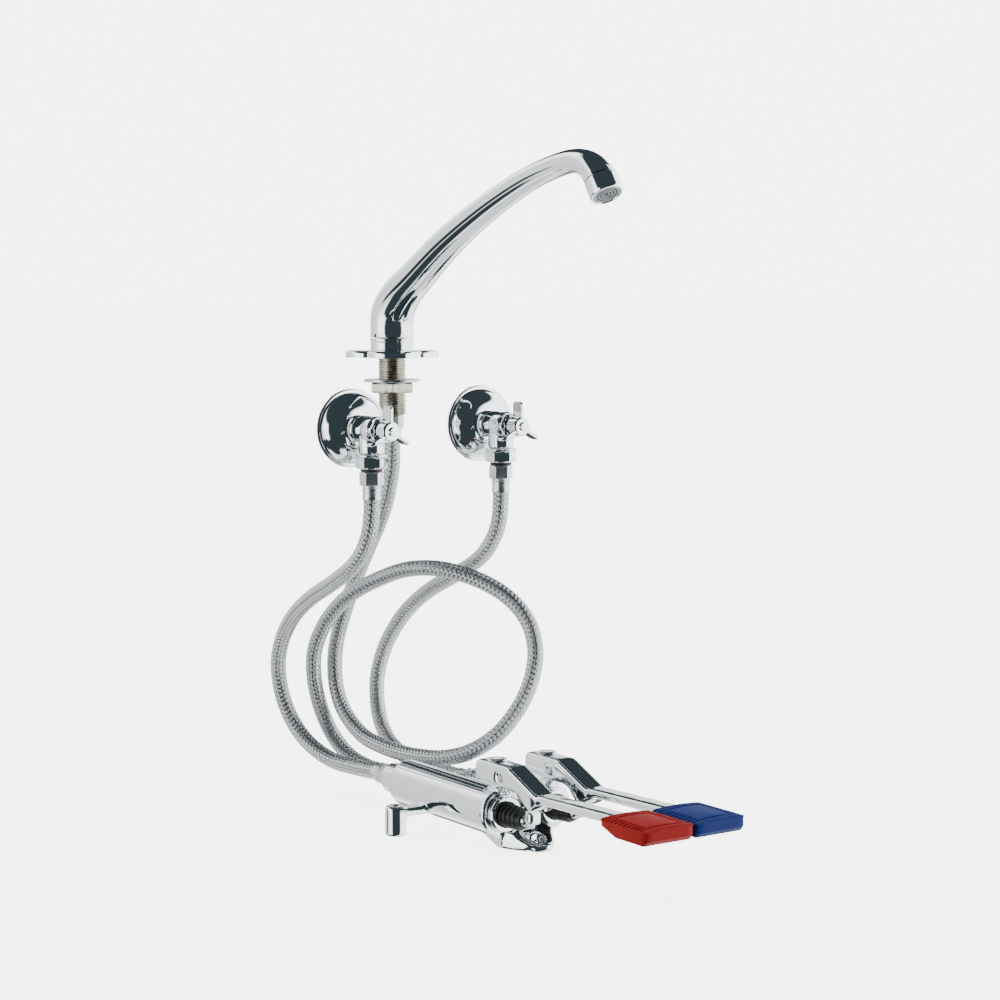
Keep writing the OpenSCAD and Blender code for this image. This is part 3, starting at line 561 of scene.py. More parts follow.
def cast(bm: bmesh.types.BMesh, voxel: float, passes: int) -> bmesh.types.BMesh:
    """Melt a shape into one skin with small fillets, as a casting or a moulding has.

    Args:
        bm: the closed shape or shapes.
        voxel: size of the skin's faces in millimetres.
        passes: rounds of smoothing, which set the fillets.

    Returns:
        The new skin.
    """
    mesh = bpy.data.meshes.new("mould")
    bm.to_mesh(mesh)
    bm.free()
    form = bpy.data.objects.new("mould", mesh)
    bpy.context.scene.collection.objects.link(form)
    remesh = form.modifiers.new("skin", "REMESH")
    remesh.mode = "VOXEL"
    remesh.voxel_size = voxel
    skin = bmesh.new()
    skin.from_object(form, bpy.context.evaluated_depsgraph_get())
    bpy.data.objects.remove(form)
    bpy.data.meshes.remove(mesh)
    for _ in range(passes):
        bmesh.ops.smooth_vert(skin, verts=skin.verts, factor=0.5, use_axis_x=True, use_axis_y=True,
                              use_axis_z=True)
    return skin


def piece(name: str, bm: bmesh.types.BMesh, finish: Finish, body: str, nodes: Sequence[str],
          edge: float = 0.0, crease: float = 38.0) -> bpy.types.Object:
    """Make a piece of the object from a shape in millimetres.

    Args:
        name: name of the piece.
        bm: its shape, which is used up.
        finish: its finish.
        body: CAD body that it rides on.
        nodes: CAD nodes that it stands for.
        edge: width of the bevel on its sharp edges in millimetres, or 0.
        crease: angle in degrees above which an edge is sharp.

    Returns:
        The piece.
    """
    bmesh.ops.scale(bm, vec=(MM,) * 3, verts=bm.verts)
    mesh = bpy.data.meshes.new(name)
    bm.to_mesh(mesh)
    bm.free()
    return settled(name, mesh, [finish], body, nodes, edge, crease)


def settled(name: str, mesh: bpy.types.Mesh, finishes: Sequence[Finish], body: str, nodes: Sequence[str],
            edge: float = 0.0, crease: float = 38.0) -> bpy.types.Object:
    """Put a mesh in metres into the scene as a piece that rides on a body.

    Args:
        name: name of the piece.
        mesh: its mesh.
        finishes: its finishes, in the order of its material indices.
        body: CAD body that it rides on.
        nodes: CAD nodes that it stands for.
        edge: width of the bevel on its sharp edges in millimetres, or 0.
        crease: angle in degrees above which an edge is sharp.

    Returns:
        The piece.
    """
    for finish in finishes:
        mesh.materials.append(finish.material())
    mesh.shade_smooth()
    mesh.set_sharp_from_angle(angle=math.radians(crease))
    thing = bpy.data.objects.new(name, mesh)
    bpy.context.scene.collection.objects.link(thing)
    if edge:
        bevel = thing.modifiers.new("edges", "BEVEL")
        bevel.width = edge * MM
        bevel.segments = 2
        bevel.limit_method = "ANGLE"
        bevel.angle_limit = math.radians(crease)
    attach(thing, body)
    if nodes:
        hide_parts(*nodes)
    LOG.info("%s on %s: %d faces", name, body, len(mesh.polygons))
    return thing


def redress(finish: Finish, *nodes: str) -> None:
    """Give CAD nodes that stay a finish.

    Args:
        finish: the finish.
        nodes: names of the nodes.
    """
    for node in nodes:
        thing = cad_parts[node]
        thing.data.materials.clear()
        thing.data.materials.append(finish.material())
        LOG.info("%s keeps its CAD shape", node)


def smooth_line(points: Sequence[Point], steps: int) -> np.ndarray:
    """Run a smooth curve through points.

    Args:
        points: the points.
        steps: steps in each span.

    Returns:
        The points of the curve, one a row.
    """
    known = np.array(points, float)
    out = []
    for i in range(len(known) - 1):
        a, b, c, d = known[max(i - 1, 0)], known[i], known[i + 1], known[min(i + 2, len(known) - 1)]
        for k in range(steps):
            t = k / steps
            out.append(0.5 * (2 * b + (c - a) * t + (2 * a - 5 * b + 4 * c - d) * t ** 2
                              + (3 * b - a - 3 * c + d) * t ** 3))
    out.append(known[-1])
    return np.array(out)


@dataclass
class Studio:
    """Camera, white floor and soft light."""

    focal_px: float = 2280.0
    photo_px: float = 1000.0
    sensor: float = 36.0
    eye: Point = (1418.1, -879.0, 46.9)
    back: Point = (0.8207, -0.5641, 0.0906)
    right: Point = (0.566, 0.824, 0.0)
    seen_white: float = 6.0
    white: float = 4.2
    low_white: float = 1.9
    sun: float = 2.4
    sun_angle: float = 100.0
    floor_half: float = 60.0
    card_colour: str = "#39454a"
    # Each card: its direction, the angles in degrees at which it starts and ends to fade, and its depth
    cards: Sequence[tuple[Point, float, float, float]] = (
        ((0.906, -0.423, 0.0), 42, 54, 1.0), ((0.35, -0.25, 0.9), 56, 66, 1.0),
        ((-0.6, 0.38, 0.69), 23, 30, 1.0), ((-0.45, -0.65, -0.6), 11, 16, 1.0),
        ((-0.66, -0.72, -0.22), 6, 10, 1.0), ((0.57, -0.564, -0.596), 19, 25, 1.0),
        ((0.2, -0.564, -0.8), 21, 28, 1.0), ((-0.15, -0.72, -0.68), 14, 20, 1.0),
        ((-0.82, 0.4, -0.41), 11, 17, 0.75), ((-0.82, -0.52, -0.12), 22, 48, 0.56),
        ((-0.79, 0.56, 0.26), 8, 18, 0.45), ((-0.9, 0.0, 0.3), 30, 60, 0.25))
    backing: tuple[float, float] = (18.0, 32.0)
    backing_grey: float = 0.06

    def build(self) -> None:
        """Make the camera, the floor and the light."""
        self.camera()
        self.floor()
        self.sky()
        self.lamps()

    def camera(self) -> None:
        """Place the camera at the photograph's angle."""
        lens = bpy.data.cameras.new("camera")
        lens.sensor_width = self.sensor
        lens.lens = self.focal_px / self.photo_px * self.sensor
        lens.clip_end = 200.0
        back = Vector(self.back).normalized()
        up = back.cross(Vector(self.right)).normalized()
        right = up.cross(back)
        turn = Matrix((right, up, back)).transposed().to_4x4()
        thing = bpy.data.objects.new("camera", lens)
        thing.matrix_world = Matrix.Translation(Vector(self.eye) * MM) @ turn
        bpy.context.scene.collection.objects.link(thing)
        bpy.context.scene.camera = thing

    def floor(self) -> None:
        """Lay the white floor under the object."""
        bm = bmesh.new()
        bmesh.ops.create_grid(bm, x_segments=1, y_segments=1, size=self.floor_half)
        bmesh.ops.translate(bm, verts=bm.verts, vec=(0, 0, FLOOR_Z * MM))
        mesh = bpy.data.meshes.new("floor")
        bm.to_mesh(mesh)
        bm.free()
        mesh.materials.append(PAPER.material())
        thing = bpy.data.objects.new("floor", mesh)
        bpy.context.scene.collection.objects.link(thing)
        thing.visible_glossy = False
        thing.visible_diffuse = False

    def sky(self) -> None:
        """Surround the set with white, and with the dark cards that draw streaks on chrome.

        The cards are painted on the surround, and only reflections see them.
        """
        world = bpy.data.worlds.new("studio")
        world.use_nodes = True
        bpy.context.scene.world = world
        tree = world.node_tree
        shade = tree.nodes["Background"]
        place = add(tree, "ShaderNodeTexCoord")
        light = None
        for way, inner, outer, depth in self.cards:
            near = add(tree, "ShaderNodeVectorMath", {
                0: place.outputs["Generated"], 1: Vector(way).normalized()}, operation="DOT_PRODUCT")
            clear = add(tree, "ShaderNodeMapRange", {
                "Value": near.outputs["Value"], "From Min": math.cos(math.radians(outer)),
                "From Max": math.cos(math.radians(inner)), "To Min": 1.0, "To Max": 1.0 - depth},
                interpolation_type="SMOOTHSTEP")
            if light is None:
                light = clear.outputs["Result"]
            else:
                light = add(tree, "ShaderNodeMath", {0: light, 1: clear.outputs["Result"]},
                            operation="MULTIPLY").outputs[0]
        behind = add(tree, "ShaderNodeVectorMath", {
            0: place.outputs["Generated"], 1: -Vector(self.back).normalized()}, operation="DOT_PRODUCT")
        middle = math.cos(math.radians(sum(self.backing) / 2))
        rim = math.cos(math.radians(self.backing[0])) - middle
        off = add(tree, "ShaderNodeMath", {0: behind.outputs["Value"], 1: middle}, operation="SUBTRACT")
        far = add(tree, "ShaderNodeMath", {0: off.outputs[0]}, operation="ABSOLUTE")
        frame_edge = add(tree, "ShaderNodeMapRange", {
            "Value": far.outputs[0], "From Min": 0.3 * rim, "From Max": rim, "To Min": self.backing_grey,
            "To Max": 1.0}, interpolation_type="SMOOTHSTEP")
        light = add(tree, "ShaderNodeMath", {0: light, 1: frame_edge.outputs["Result"]},
                    operation="MULTIPLY").outputs[0]
        ray = add(tree, "ShaderNodeLightPath")
        seen = add(tree, "ShaderNodeMath", {0: light, 1: ray.outputs["Is Camera Ray"]}, operation="MAXIMUM")
        paint = add(tree, "ShaderNodeMix", {"Factor": seen.outputs[0]}, data_type="RGBA")
        paint.inputs[6].default_value = linear(self.card_colour)
        split = add(tree, "ShaderNodeSeparateXYZ", {"Vector": place.outputs["Generated"]})
        fade = add(tree, "ShaderNodeMapRange", {
            "Value": split.outputs["Z"], "From Min": -0.95, "From Max": 0.05, "To Min": self.low_white,
            "To Max": self.white})
        plain = add(tree, "ShaderNodeMath", {0: ray.outputs["Is Camera Ray"], 1: self.seen_white},
                    operation="MULTIPLY")
        bright = add(tree, "ShaderNodeMath", {0: fade.outputs["Result"], 1: plain.outputs[0]},
                     operation="MAXIMUM")
        tree.links.new(bright.outputs[0], paint.inputs[7])
        tree.links.new(paint.outputs[2], shade.inputs["Color"])

    def lamps(self) -> None:
        """Hang one very soft light over the set, which chrome doesn't mirror."""
        sun = bpy.data.lights.new("overhead", "SUN")
        sun.energy = self.sun
        sun.angle = math.radians(self.sun_angle)
        thing = bpy.data.objects.new("overhead", sun)
        thing.visible_glossy = False
        bpy.context.scene.collection.objects.link(thing)


@dataclass
class BraidedHose:
    """A rubber hose in a braid of flat wire bundles, with a nut and a crimped ferrule at each end."""

    word: str
    route: Sequence[Point]
    first_end: Matrix
    last_end: Matrix
    diameter: float = 12.0
    bundles: int = 10
    pitch: float = 36.0
    bundle_width: float = 2.25
    bundle_thick: float = 0.36
    weave: float = 0.2
    core_r: float = 5.25
    core_sides: int = 14
    nut_across: float = 15.0
    nut_length: float = 11.5
    nut_bore: float = 4.2
    ferrule_length: float = 8.5
    ferrule_r: float = 6.7
    tuck: float = 3.0

    def build(self) -> None:
        """Make the hose and its ends."""
        line = self.centre_line()
        hose = self.hose(line)
        ends = [self.nuts(), self.ferrules()]

    def centre_line(self) -> np.ndarray:
        """Run the centre line along the route and a little way into both ferrules.

        Returns:
            Evenly spaced points.
        """
        fine = smooth_line(self.route, 12)
        start = self.first_end.to_3x3() @ Vector((0, 0, 1))
        end = self.last_end.to_3x3() @ Vector((0, 0, 1))
        fine = np.vstack([fine[0] + np.array(start) * self.tuck, fine, fine[-1] + np.array(end) * self.tuck])
        reach = np.concatenate([[0], np.cumsum(np.linalg.norm(np.diff(fine, axis=0), axis=1))])
        count = int(round(reach[-1] / (self.pitch / self.bundles / 4)))
        spots = np.linspace(0, reach[-1], count + 1)
        return np.stack([np.interp(spots, reach, fine[:, k]) for k in range(3)], axis=1)

    def frames(self, line: np.ndarray) -> tuple[np.ndarray, np.ndarray]:
        """Carry a pair of cross directions along a line without twist.

        Args:
            line: points of the centre line.

        Returns:
            The first and the second cross direction at each point.
        """
        ways = np.gradient(line, axis=0)
        ways /= np.linalg.norm(ways, axis=1)[:, None]
        first = np.zeros_like(line)
        cross = np.array((0.0, 1.0, 0.0))
        for i, way in enumerate(ways):
            cross = cross - way * (cross @ way)
            cross /= np.linalg.norm(cross)
            first[i] = cross
        return first, np.cross(ways, first)

    def hose(self, line: np.ndarray) -> bpy.types.Object:
        """Weave the braid round its liner.

        Args:
            line: points of the centre line.

        Returns:
            The hose.
        """
        first, second = self.frames(line)
        step = float(np.linalg.norm(line[1] - line[0]))
        run = np.arange(len(line)) * step
        rings, across = [], (0.0, 0.25, 0.75, 1.0)
        middle_r = self.diameter / 2 - self.bundle_thick / 2 - self.weave
        lift = np.cos(run / self.pitch * 2 * self.bundles * math.pi)
        for hand in (1, -1):
            for k in range(self.bundles):
                angle = math.tau * (k / self.bundles + hand * run / self.pitch)
                out = np.cos(angle)[:, None] * first + np.sin(angle)[:, None] * second
                middle = line + (middle_r + hand * self.weave * lift)[:, None] * out
                side = np.cross(np.gradient(middle, axis=0), out)
                side /= np.linalg.norm(side, axis=1)[:, None]
                half, thick = self.bundle_width / 2, self.bundle_thick / 2
                rings.append(np.stack([middle - side * half - out * thick * 0.6,
                                       middle - side * half * 0.5 + out * thick,
                                       middle + side * half * 0.5 + out * thick,
                                       middle + side * half - out * thick * 0.6], axis=1))
        turn = np.arange(self.core_sides) / self.core_sides * math.tau
        coarse = slice(None, None, 3)
        one, other = first[coarse][:, None], second[coarse][:, None]
        core = line[coarse][:, None] + self.core_r * (np.cos(turn)[None, :, None] * one
                                                      + np.sin(turn)[None, :, None] * other)
        verts, faces, kinds, spread = [], [], [], []
        base = 0
        for grid, kind in [(ring, 0) for ring in rings] + [(core, 1)]:
            rows, columns = grid.shape[:2]
            verts.append(grid.reshape(-1, 3))
            index = base + np.arange(rows * columns).reshape(rows, columns)
            after = np.roll(index, -1, axis=1)
            quads = np.stack([index[:-1], after[:-1], after[1:], index[1:]], axis=-1).reshape(-1, 4)
            faces += quads.tolist() + [index[0, ::-1].tolist(), index[-1].tolist()]
            kinds += [kind] * (len(quads) + 2)
            spread.append(np.tile(across if kind == 0 else np.zeros(columns), rows))
            base += rows * columns
        mesh = bpy.data.meshes.new(f"{self.word}_braided_hose")
        mesh.from_pydata((np.vstack(verts) * MM).tolist(), [], faces)
        mesh.polygons.foreach_set("material_index", kinds)
        uv = mesh.uv_layers.new(name="bundle")
        corners = np.zeros(len(mesh.loops), np.int32)
        mesh.loops.foreach_get("vertex_index", corners)
        flat = np.zeros((len(corners), 2), np.float32)
        flat[:, 0] = np.concatenate(spread)[corners]
        uv.data.foreach_set("uv", flat.ravel())
        mesh.update()
        skin = bmesh.new()
        skin.from_mesh(mesh)
        bmesh.ops.recalc_face_normals(skin, faces=skin.faces)
        skin.to_mesh(mesh)
        skin.free()
        return settled(f"{self.word}_braided_hose", mesh, [BRAID, LINER], "base", [f"{self.word}_hose"],
                       crease=60)

    def nuts(self) -> bpy.types.Object:
        """Make the nuts, each with a turned collar towards its ferrule.

        Returns:
            The piece of both nuts.
        """
        low, bore, shapes = self.ferrule_length, self.nut_bore, []
        for end in (self.first_end, self.last_end):
            collar = turned(eased([(bore, low - 0.4), (6.4, low - 0.4), (6.6, low + 1.5),
                                   (bore, low + 1.5)], 0.3))
            nut = hexagon(self.nut_across, low + 1.2, low + self.nut_length, bore)
            shapes += [placed(collar, end), placed(nut, end, Matrix.Rotation(math.pi / 6, 4, "Z"))]
        return piece(f"{self.word}_union_nuts", joined(shapes), SATIN_CHROME, "base",
                     [f"{self.word}_hose_nuts"], edge=0.2)

    def ferrules(self) -> bpy.types.Object:
        """Make the ferrules, rolled at the mouth and drawn in over the braid.

        Returns:
            The piece of both ferrules.
        """
        r, length, shapes = self.ferrule_r, self.ferrule_length, []
        for end in (self.first_end, self.last_end):
            mouth = [(6.08, 0.3), (r - 0.1, 0.0), (r, 0.7), (r - 0.25, 1.6), (r - 0.3, 5.2), (r - 0.05, 6.2),
                     (r - 0.05, length - 0.4), (r - 0.6, length), (4.3, length), (4.3, 4.0), (6.08, 4.0)]
            shapes.append(placed(turned(eased(mouth, 0.5)), end))
        return piece(f"{self.word}_crimp_ferrules", joined(shapes), CRIMPED, "base",
                     [f"{self.word}_hose_ferrules"])


@dataclass
class DeckSpout:
    """The spout that turns on its stem, its lobed flange and what clamps it under the deck."""

    lobe_r: float = 20.0
    lobe_offset: float = 14.0
    lobe_turn: float = -27.0
    flange_h: float = 5.0
    collar_r: float = 16.2
    foot_z: float = 14.3
    shank_r: float = 10.4
    shank_length: float = 42.0
    bore_r: float = 6.0
    stem_r: float = 9.9
    stem_top: float = 24.2
    washer_r: float = 20.4
    washer_top: float = -16.0
    washer_thick: float = 2.0
    nut_across: float = 29.8
    nut_h: float = 8.0
    # Each point of the spout's line: X, Z and radius
    line: Sequence[Point] = (
        (0, 24.2, 15.7), (2.5, 33.8, 15.7), (13.9, 45.6, 14.6), (34, 57.9, 13), (75.6, 82, 11.4),
        (123.5, 103.9, 9.7), (167.6, 120, 8.6), (201.6, 128.5, 8), (224.3, 131.2, 8), (240.7, 127.5, 9.2),
        (252, 118.9, 10.8))
    tilt: float = 33.0
    sides: int = 56

    def build(self) -> None:
        """Make the flange, the stem and its nut, the spout and its outlet."""
        self.flange()
        self.collar()
        self.stem()
        self.clamp()
        self.spout()
        self.outlet()
        redress(BLACK_RUBBER, "deck_gasket", "stem_seals")
        piece("foot_screw", cad_copy("spout_screw"), STEEL, "spout", ["spout_screw"])

    def flange(self) -> None:
        """Make the four-lobed flange with a rolled upper edge."""
        bm = bmesh.new()
        outline = []
        for lobe in range(4):
            middle = math.radians(self.lobe_turn + 90 * lobe)
            notch = math.acos(self.lobe_offset * math.sin(math.pi / 4) / self.lobe_r)
            sweep = math.pi - notch - math.pi / 4
            for k in range(33):
                angle = middle - sweep + 2 * sweep * k / 32
                outline.append((self.lobe_offset * math.cos(middle) + self.lobe_r * math.cos(angle),
                                self.lobe_offset * math.sin(middle) + self.lobe_r * math.sin(angle)))
        for x, y in outline:
            bm.verts.new((x, y, 0.0))
        bmesh.ops.remove_doubles(bm, verts=bm.verts, dist=0.05)
        floor = bm.faces.new(bm.verts[:])
        grown = bmesh.ops.extrude_face_region(bm, geom=[floor])["geom"]
        top = [g for g in grown if isinstance(g, bmesh.types.BMVert)]
        bmesh.ops.translate(bm, verts=top, vec=(0, 0, self.flange_h))
        bmesh.ops.recalc_face_normals(bm, faces=bm.faces)
        upper = [e for e in bm.edges if all(v.co.z > self.flange_h - 0.1 for v in e.verts)]
        bmesh.ops.bevel(bm, geom=upper, offset=2.0, offset_type="OFFSET", affect="EDGES", segments=5,
                        profile=0.5, material=-1, clamp_overlap=True)
        piece("lobed_flange", bm, CHROME, "base", ["deck_flange"], crease=50)

    def collar(self) -> None:
        """Make the collar, with a lip under the spout."""
        r, low = self.collar_r, self.flange_h
        bore = self.stem_r + 0.3
        outline = [(bore, low), (r - 0.5, low), (r - 0.5, low + 5.6), (r - 1.1, low + 5.9),
                   (r - 1.1, low + 6.5), (r, low + 6.9), (r, low + 8.9), (bore, low + 8.9)]
        piece("foot_collar", turned(eased(outline, 0.5), 72), CHROME, "base", ["spout_collar"])

    def stem(self) -> None:
        """Make the stem, whose shank is threaded below the deck."""
        r, bore, top = self.stem_r, self.bore_r, self.stem_top
        shank = placed(threaded(self.shank_r, self.shank_length - 0.5, bore), at(0, 0, -self.shank_length))
        upper = turned(eased([(0, -1.0), (r, -1.0), (r, top), (bore, top), (bore, 10.0), (0, 10.0)], 0.4), 48)
        piece("threaded_stem", joined([shank, upper]), NICKEL, "base", ["spout_stem"])

    def clamp(self) -> None:
        """Make the washer and the nut under the deck."""
        high, bore = self.washer_top, self.shank_r + 0.2
        low = high - self.washer_thick
        washer = turned(eased([(bore, low), (self.washer_r, low), (self.washer_r, high), (bore, high)], 0.4))
        piece("clamp_ring", washer, STEEL, "base", ["clamp_washer"])
        nut = hexagon(self.nut_across, low - self.nut_h, low, self.shank_r + 0.05, 1.2)
        piece("shank_nut", nut, NICKEL, "base", ["back_nut"], edge=0.3)

    def spout(self) -> None:
        """Draw the tapered spout along its line."""
        smooth = smooth_line(self.line, 9)
        rings = [((0.0, self.foot_z), self.line[0][2] - 0.5, (0.0, 1.0)),
                 ((0.0, self.foot_z + 0.15), self.line[0][2] - 0.15, (0.0, 1.0)),
                 ((0.0, self.foot_z + 0.5), self.line[0][2], (0.0, 1.0)),
                 ((0.0, self.foot_z + 4.0), self.line[0][2], (0.0, 1.0))]
        ways = np.gradient(smooth[:, :2], axis=0)
        ways[0] = (0.0, 1.0)
        tilt = math.radians(self.tilt)
        ways[-1] = (math.sin(tilt), -math.cos(tilt))
        rings += [((p[0], p[1]), p[2], tuple(w)) for p, w in zip(smooth, ways)]
        bm = bmesh.new()
        loop = bmesh.ops.create_circle(bm, cap_ends=True, segments=self.sides, radius=1.0)["verts"]
        flat = [v.co.copy() for v in loop]
        edges = list({e for v in loop for e in v.link_edges})
        for i, (spot, r, way) in enumerate(rings):
            if i:
                grown = bmesh.ops.extrude_edge_only(bm, edges=edges)["geom"]
                old = {(round(v.co.x, 6), round(v.co.y, 6), round(v.co.z, 6)): k for k, v in enumerate(loop)}
                fresh = [g for g in grown if isinstance(g, bmesh.types.BMVert)]
                order = {old[(round(v.co.x, 6), round(v.co.y, 6), round(v.co.z, 6))]: v for v in fresh}
                loop = [order[k] for k in range(self.sides)]
                edges = [g for g in grown if isinstance(g, bmesh.types.BMEdge)]
            lean = math.atan2(way[0], way[1])
            turn = at(spot[0], 0, spot[1]) @ Matrix.Rotation(lean, 4, "Y") @ Matrix.Diagonal((r, r, 1, 1))
            for vert, first in zip(loop, flat):
                vert.co = turn @ first
        bm.faces.new(loop)
        bmesh.ops.recalc_face_normals(bm, faces=bm.faces)
        piece("curved_spout", bm, CHROME, "spout", ["spout"])

    def outlet(self) -> None:
        """Make the aerator's shell and insert at the end of the spout."""
        x, z, _ = self.line[-1]
        end = at(x, 0, z) @ Matrix.Rotation(math.pi - math.radians(self.tilt), 4, "Y")
        outline = [(7.0, 0.25), (10.3, 0.25), (10.75, 0.6), (11.0, 1.4), (11.0, 11.2), (10.6, 12.6),
                   (10.1, 13.0), (9.3, 13.0), (9.0, 12.0), (7.0, 12.0)]
        piece("outlet_ring", placed(turned(eased(outline, 0.35)), end), CHROME, "spout", ["aerator_shell"])
        piece("jet_insert", cad_copy("aerator_insert"), GREY_PLASTIC, "spout", ["aerator_insert"], edge=0.15)


@dataclass
class SidePart:
    """A sub-assembly that is there once for hot and once for cold."""

    side: Side
    y: float

    @property
    def word(self) -> str:
        """Word that starts the names of this side's pieces."""
        return self.side.value


@dataclass
class StopValve(SidePart):
    """An angle stop valve on the wall, with its escutcheon and three-winged handle."""

    wall_x: float = 25.0
    z: float = -49.0
    outlet_x: float = 53.0
    bottom_z: float = -66.0
    hub_x: float = 69.5
    hub_length: float = 11.0
    wing_reach: float = 18.0
    wing_thick: float = 2.6
    wing_root: float = 3.0
    handle_voxel: float = 0.32
    plate_r: float = 28.0
    plate_hole: float = 10.65
    plate_depth: float = 13.0
    inlet_r: float = 10.4
    inlet_length: float = 16.0
    inlet_bore: float = 6.0
    neck_x: float = 63.0
    body_voxel: float = 0.45
    bonnet_across: float = 17.0
    bonnet_length: float = 5.0
    spindle_bore: float = 4.1
    adapter_across: float = 20.0
    adapter_end: float = 10.0
    adapter_bore: float = 5.0

    @property
    def axis(self) -> Matrix:
        """Move that lays a shape turned about Z along the spindle."""
        return at(0, self.y, self.z) @ TO_X

    def build(self) -> None:
        """Make the valve's pieces."""
        word, neck = self.word, self.neck_x
        self.escutcheon()
        self.body()
        bonnet = hexagon(self.bonnet_across, neck, neck + self.bonnet_length, self.spindle_bore, 0.8)
        piece(f"{word}_bonnet_nut", placed(bonnet, self.axis), CHROME, "base", [f"{word}_stop_bonnet"],
              edge=0.2)
        self.handle()
        self.outlet()
        redress(BRASS, f"{word}_stop_jumper")
        piece(f"{word}_spindle_rod", cad_copy(f"{word}_stop_spindle"), BRASS, f"{word}_stop_handle",
              [f"{word}_stop_spindle"])
        piece(f"{word}_cap_screw", cad_copy(f"{word}_handle_screw"), CHROME, f"{word}_stop_handle",
              [f"{word}_handle_screw"], edge=0.15)

    def escutcheon(self) -> None:
        """Press the domed escutcheon, with a small flat rim on the wall."""
        outer, hole, depth, low = self.plate_r, self.plate_hole, self.plate_depth, self.wall_x
        dome = [(hole + (outer - 2.6 - hole) * math.sin(a), low + 1.0 + (depth - 1.0) * math.cos(a))
                for a in (math.radians(5 * k) for k in range(18, -1, -1))]
        skin = [(outer - 1.6, low), (outer, low), (outer, low + 0.8), (outer - 0.4, low + 1.1)] + dome
        skin += [(hole, low + depth - 1.2), (outer - 4.0, low + 1.2)]
        piece(f"{self.word}_wall_escutcheon", placed(turned(skin, 96), self.axis), CHROME, "base",
              [f"{self.word}_escutcheon"], crease=50)

    def body(self) -> None:
        """Cast the body with its outlet branch, and cut its wall thread."""
        neck = self.neck_x
        barrel = turned([(0, 24.0), (9.2, 24.0), (9.2, 26.0), (10.0, 27.0), (10.0, 40.0), (9.4, 41.0),
                         (9.4, 42.0), (10.0, 43.0), (10.0, neck - 1.0), (9.4, neck), (0, neck)])
        branch = turned([(0, 0), (9.2, 0), (9.2, 15.4), (8.6, 17.0), (0, 17.0)])
        down = at(self.outlet_x, self.y, self.z) @ TO_DOWN
        skin = cast(joined([placed(barrel, self.axis), placed(branch, down)]), self.body_voxel, 6)
        thread = placed(threaded(self.inlet_r, self.inlet_length, self.inlet_bore), self.axis,
                        at(0, 0, self.wall_x - self.inlet_length))
        piece(f"{self.word}_angle_body", joined([skin, thread]), CHROME, "base", [f"{self.word}_stop_body"])

    def handle(self) -> None:
        """Cast the hub and its three flat wings as one."""
        low, high, root = self.hub_x, self.hub_x + self.hub_length, self.wing_root
        hub = turned([(0, low), (6.4, low), (7.0, low + 0.8), (7.0, high - 1.2), (6.0, high), (0, high)], 48)
        shapes = [placed(hub, self.axis)]
        for k in range(3):
            wing = bmesh.new()
            bmesh.ops.create_cube(wing, size=1.0)
            bmesh.ops.scale(wing, vec=(self.wing_reach - root, self.wing_thick, self.hub_length - 0.6),
                            verts=wing.verts)
            tips = [e for e in wing.edges if all(v.co.x > 0 for v in e.verts)
                    and abs(e.verts[0].co.y - e.verts[1].co.y) > 1]
            bmesh.ops.bevel(wing, geom=tips, offset=3.0, offset_type="OFFSET", affect="EDGES", segments=6,
                            profile=0.5, material=-1, clamp_overlap=True)
            spin = Matrix.Rotation(math.pi + k * math.tau / 3, 4, "Z")
            middle = at((self.wing_reach + root) / 2, 0, (low + high) / 2)
            shapes.append(placed(wing, self.axis, spin, middle))
        piece(f"{self.word}_wing_handle", cast(joined(shapes), self.handle_voxel, 3), CAST_CHROME,
              f"{self.word}_stop_handle", [f"{self.word}_stop_handle"])

    def outlet(self) -> None:
        """Make the adapter under the body, with its ring, and the black seal below it."""
        bore, end = self.adapter_bore, self.adapter_end
        down = at(self.outlet_x, self.y, self.bottom_z) @ TO_DOWN
        ring = turned(eased([(bore, 0.1), (11.3, 0.1), (11.3, 1.5), (bore, 1.5)], 0.4))
        nut = placed(hexagon(self.adapter_across, 1.5, end, bore, 1.0), Matrix.Rotation(math.pi / 6, 4, "Z"))
        piece(f"{self.word}_adapter_nut", joined([placed(ring, down), placed(nut, down)]), CHROME, "base",
              [f"{self.word}_outlet_adapter"], edge=0.25)
        seal = turned(eased([(bore, end), (7.9, end), (7.9, end + 2.0), (bore, end + 2.0)], 0.5), 48)
        piece(f"{self.word}_seal_ring", placed(seal, down), BLACK_RUBBER, "base",
              [f"{self.word}_outlet_seal"])


@dataclass
class FloorValve:
    """The floor valve's casting."""

    voxel: float = 1.0
    passes: int = 9

    def build(self) -> None:
        """Melt the casting's edges into small fillets."""
        skin = cast(cad_copy("valve_body"), self.voxel, self.passes)
        piece("valve_casting", skin, CAST_CHROME, "base", ["valve_body"], crease=80)


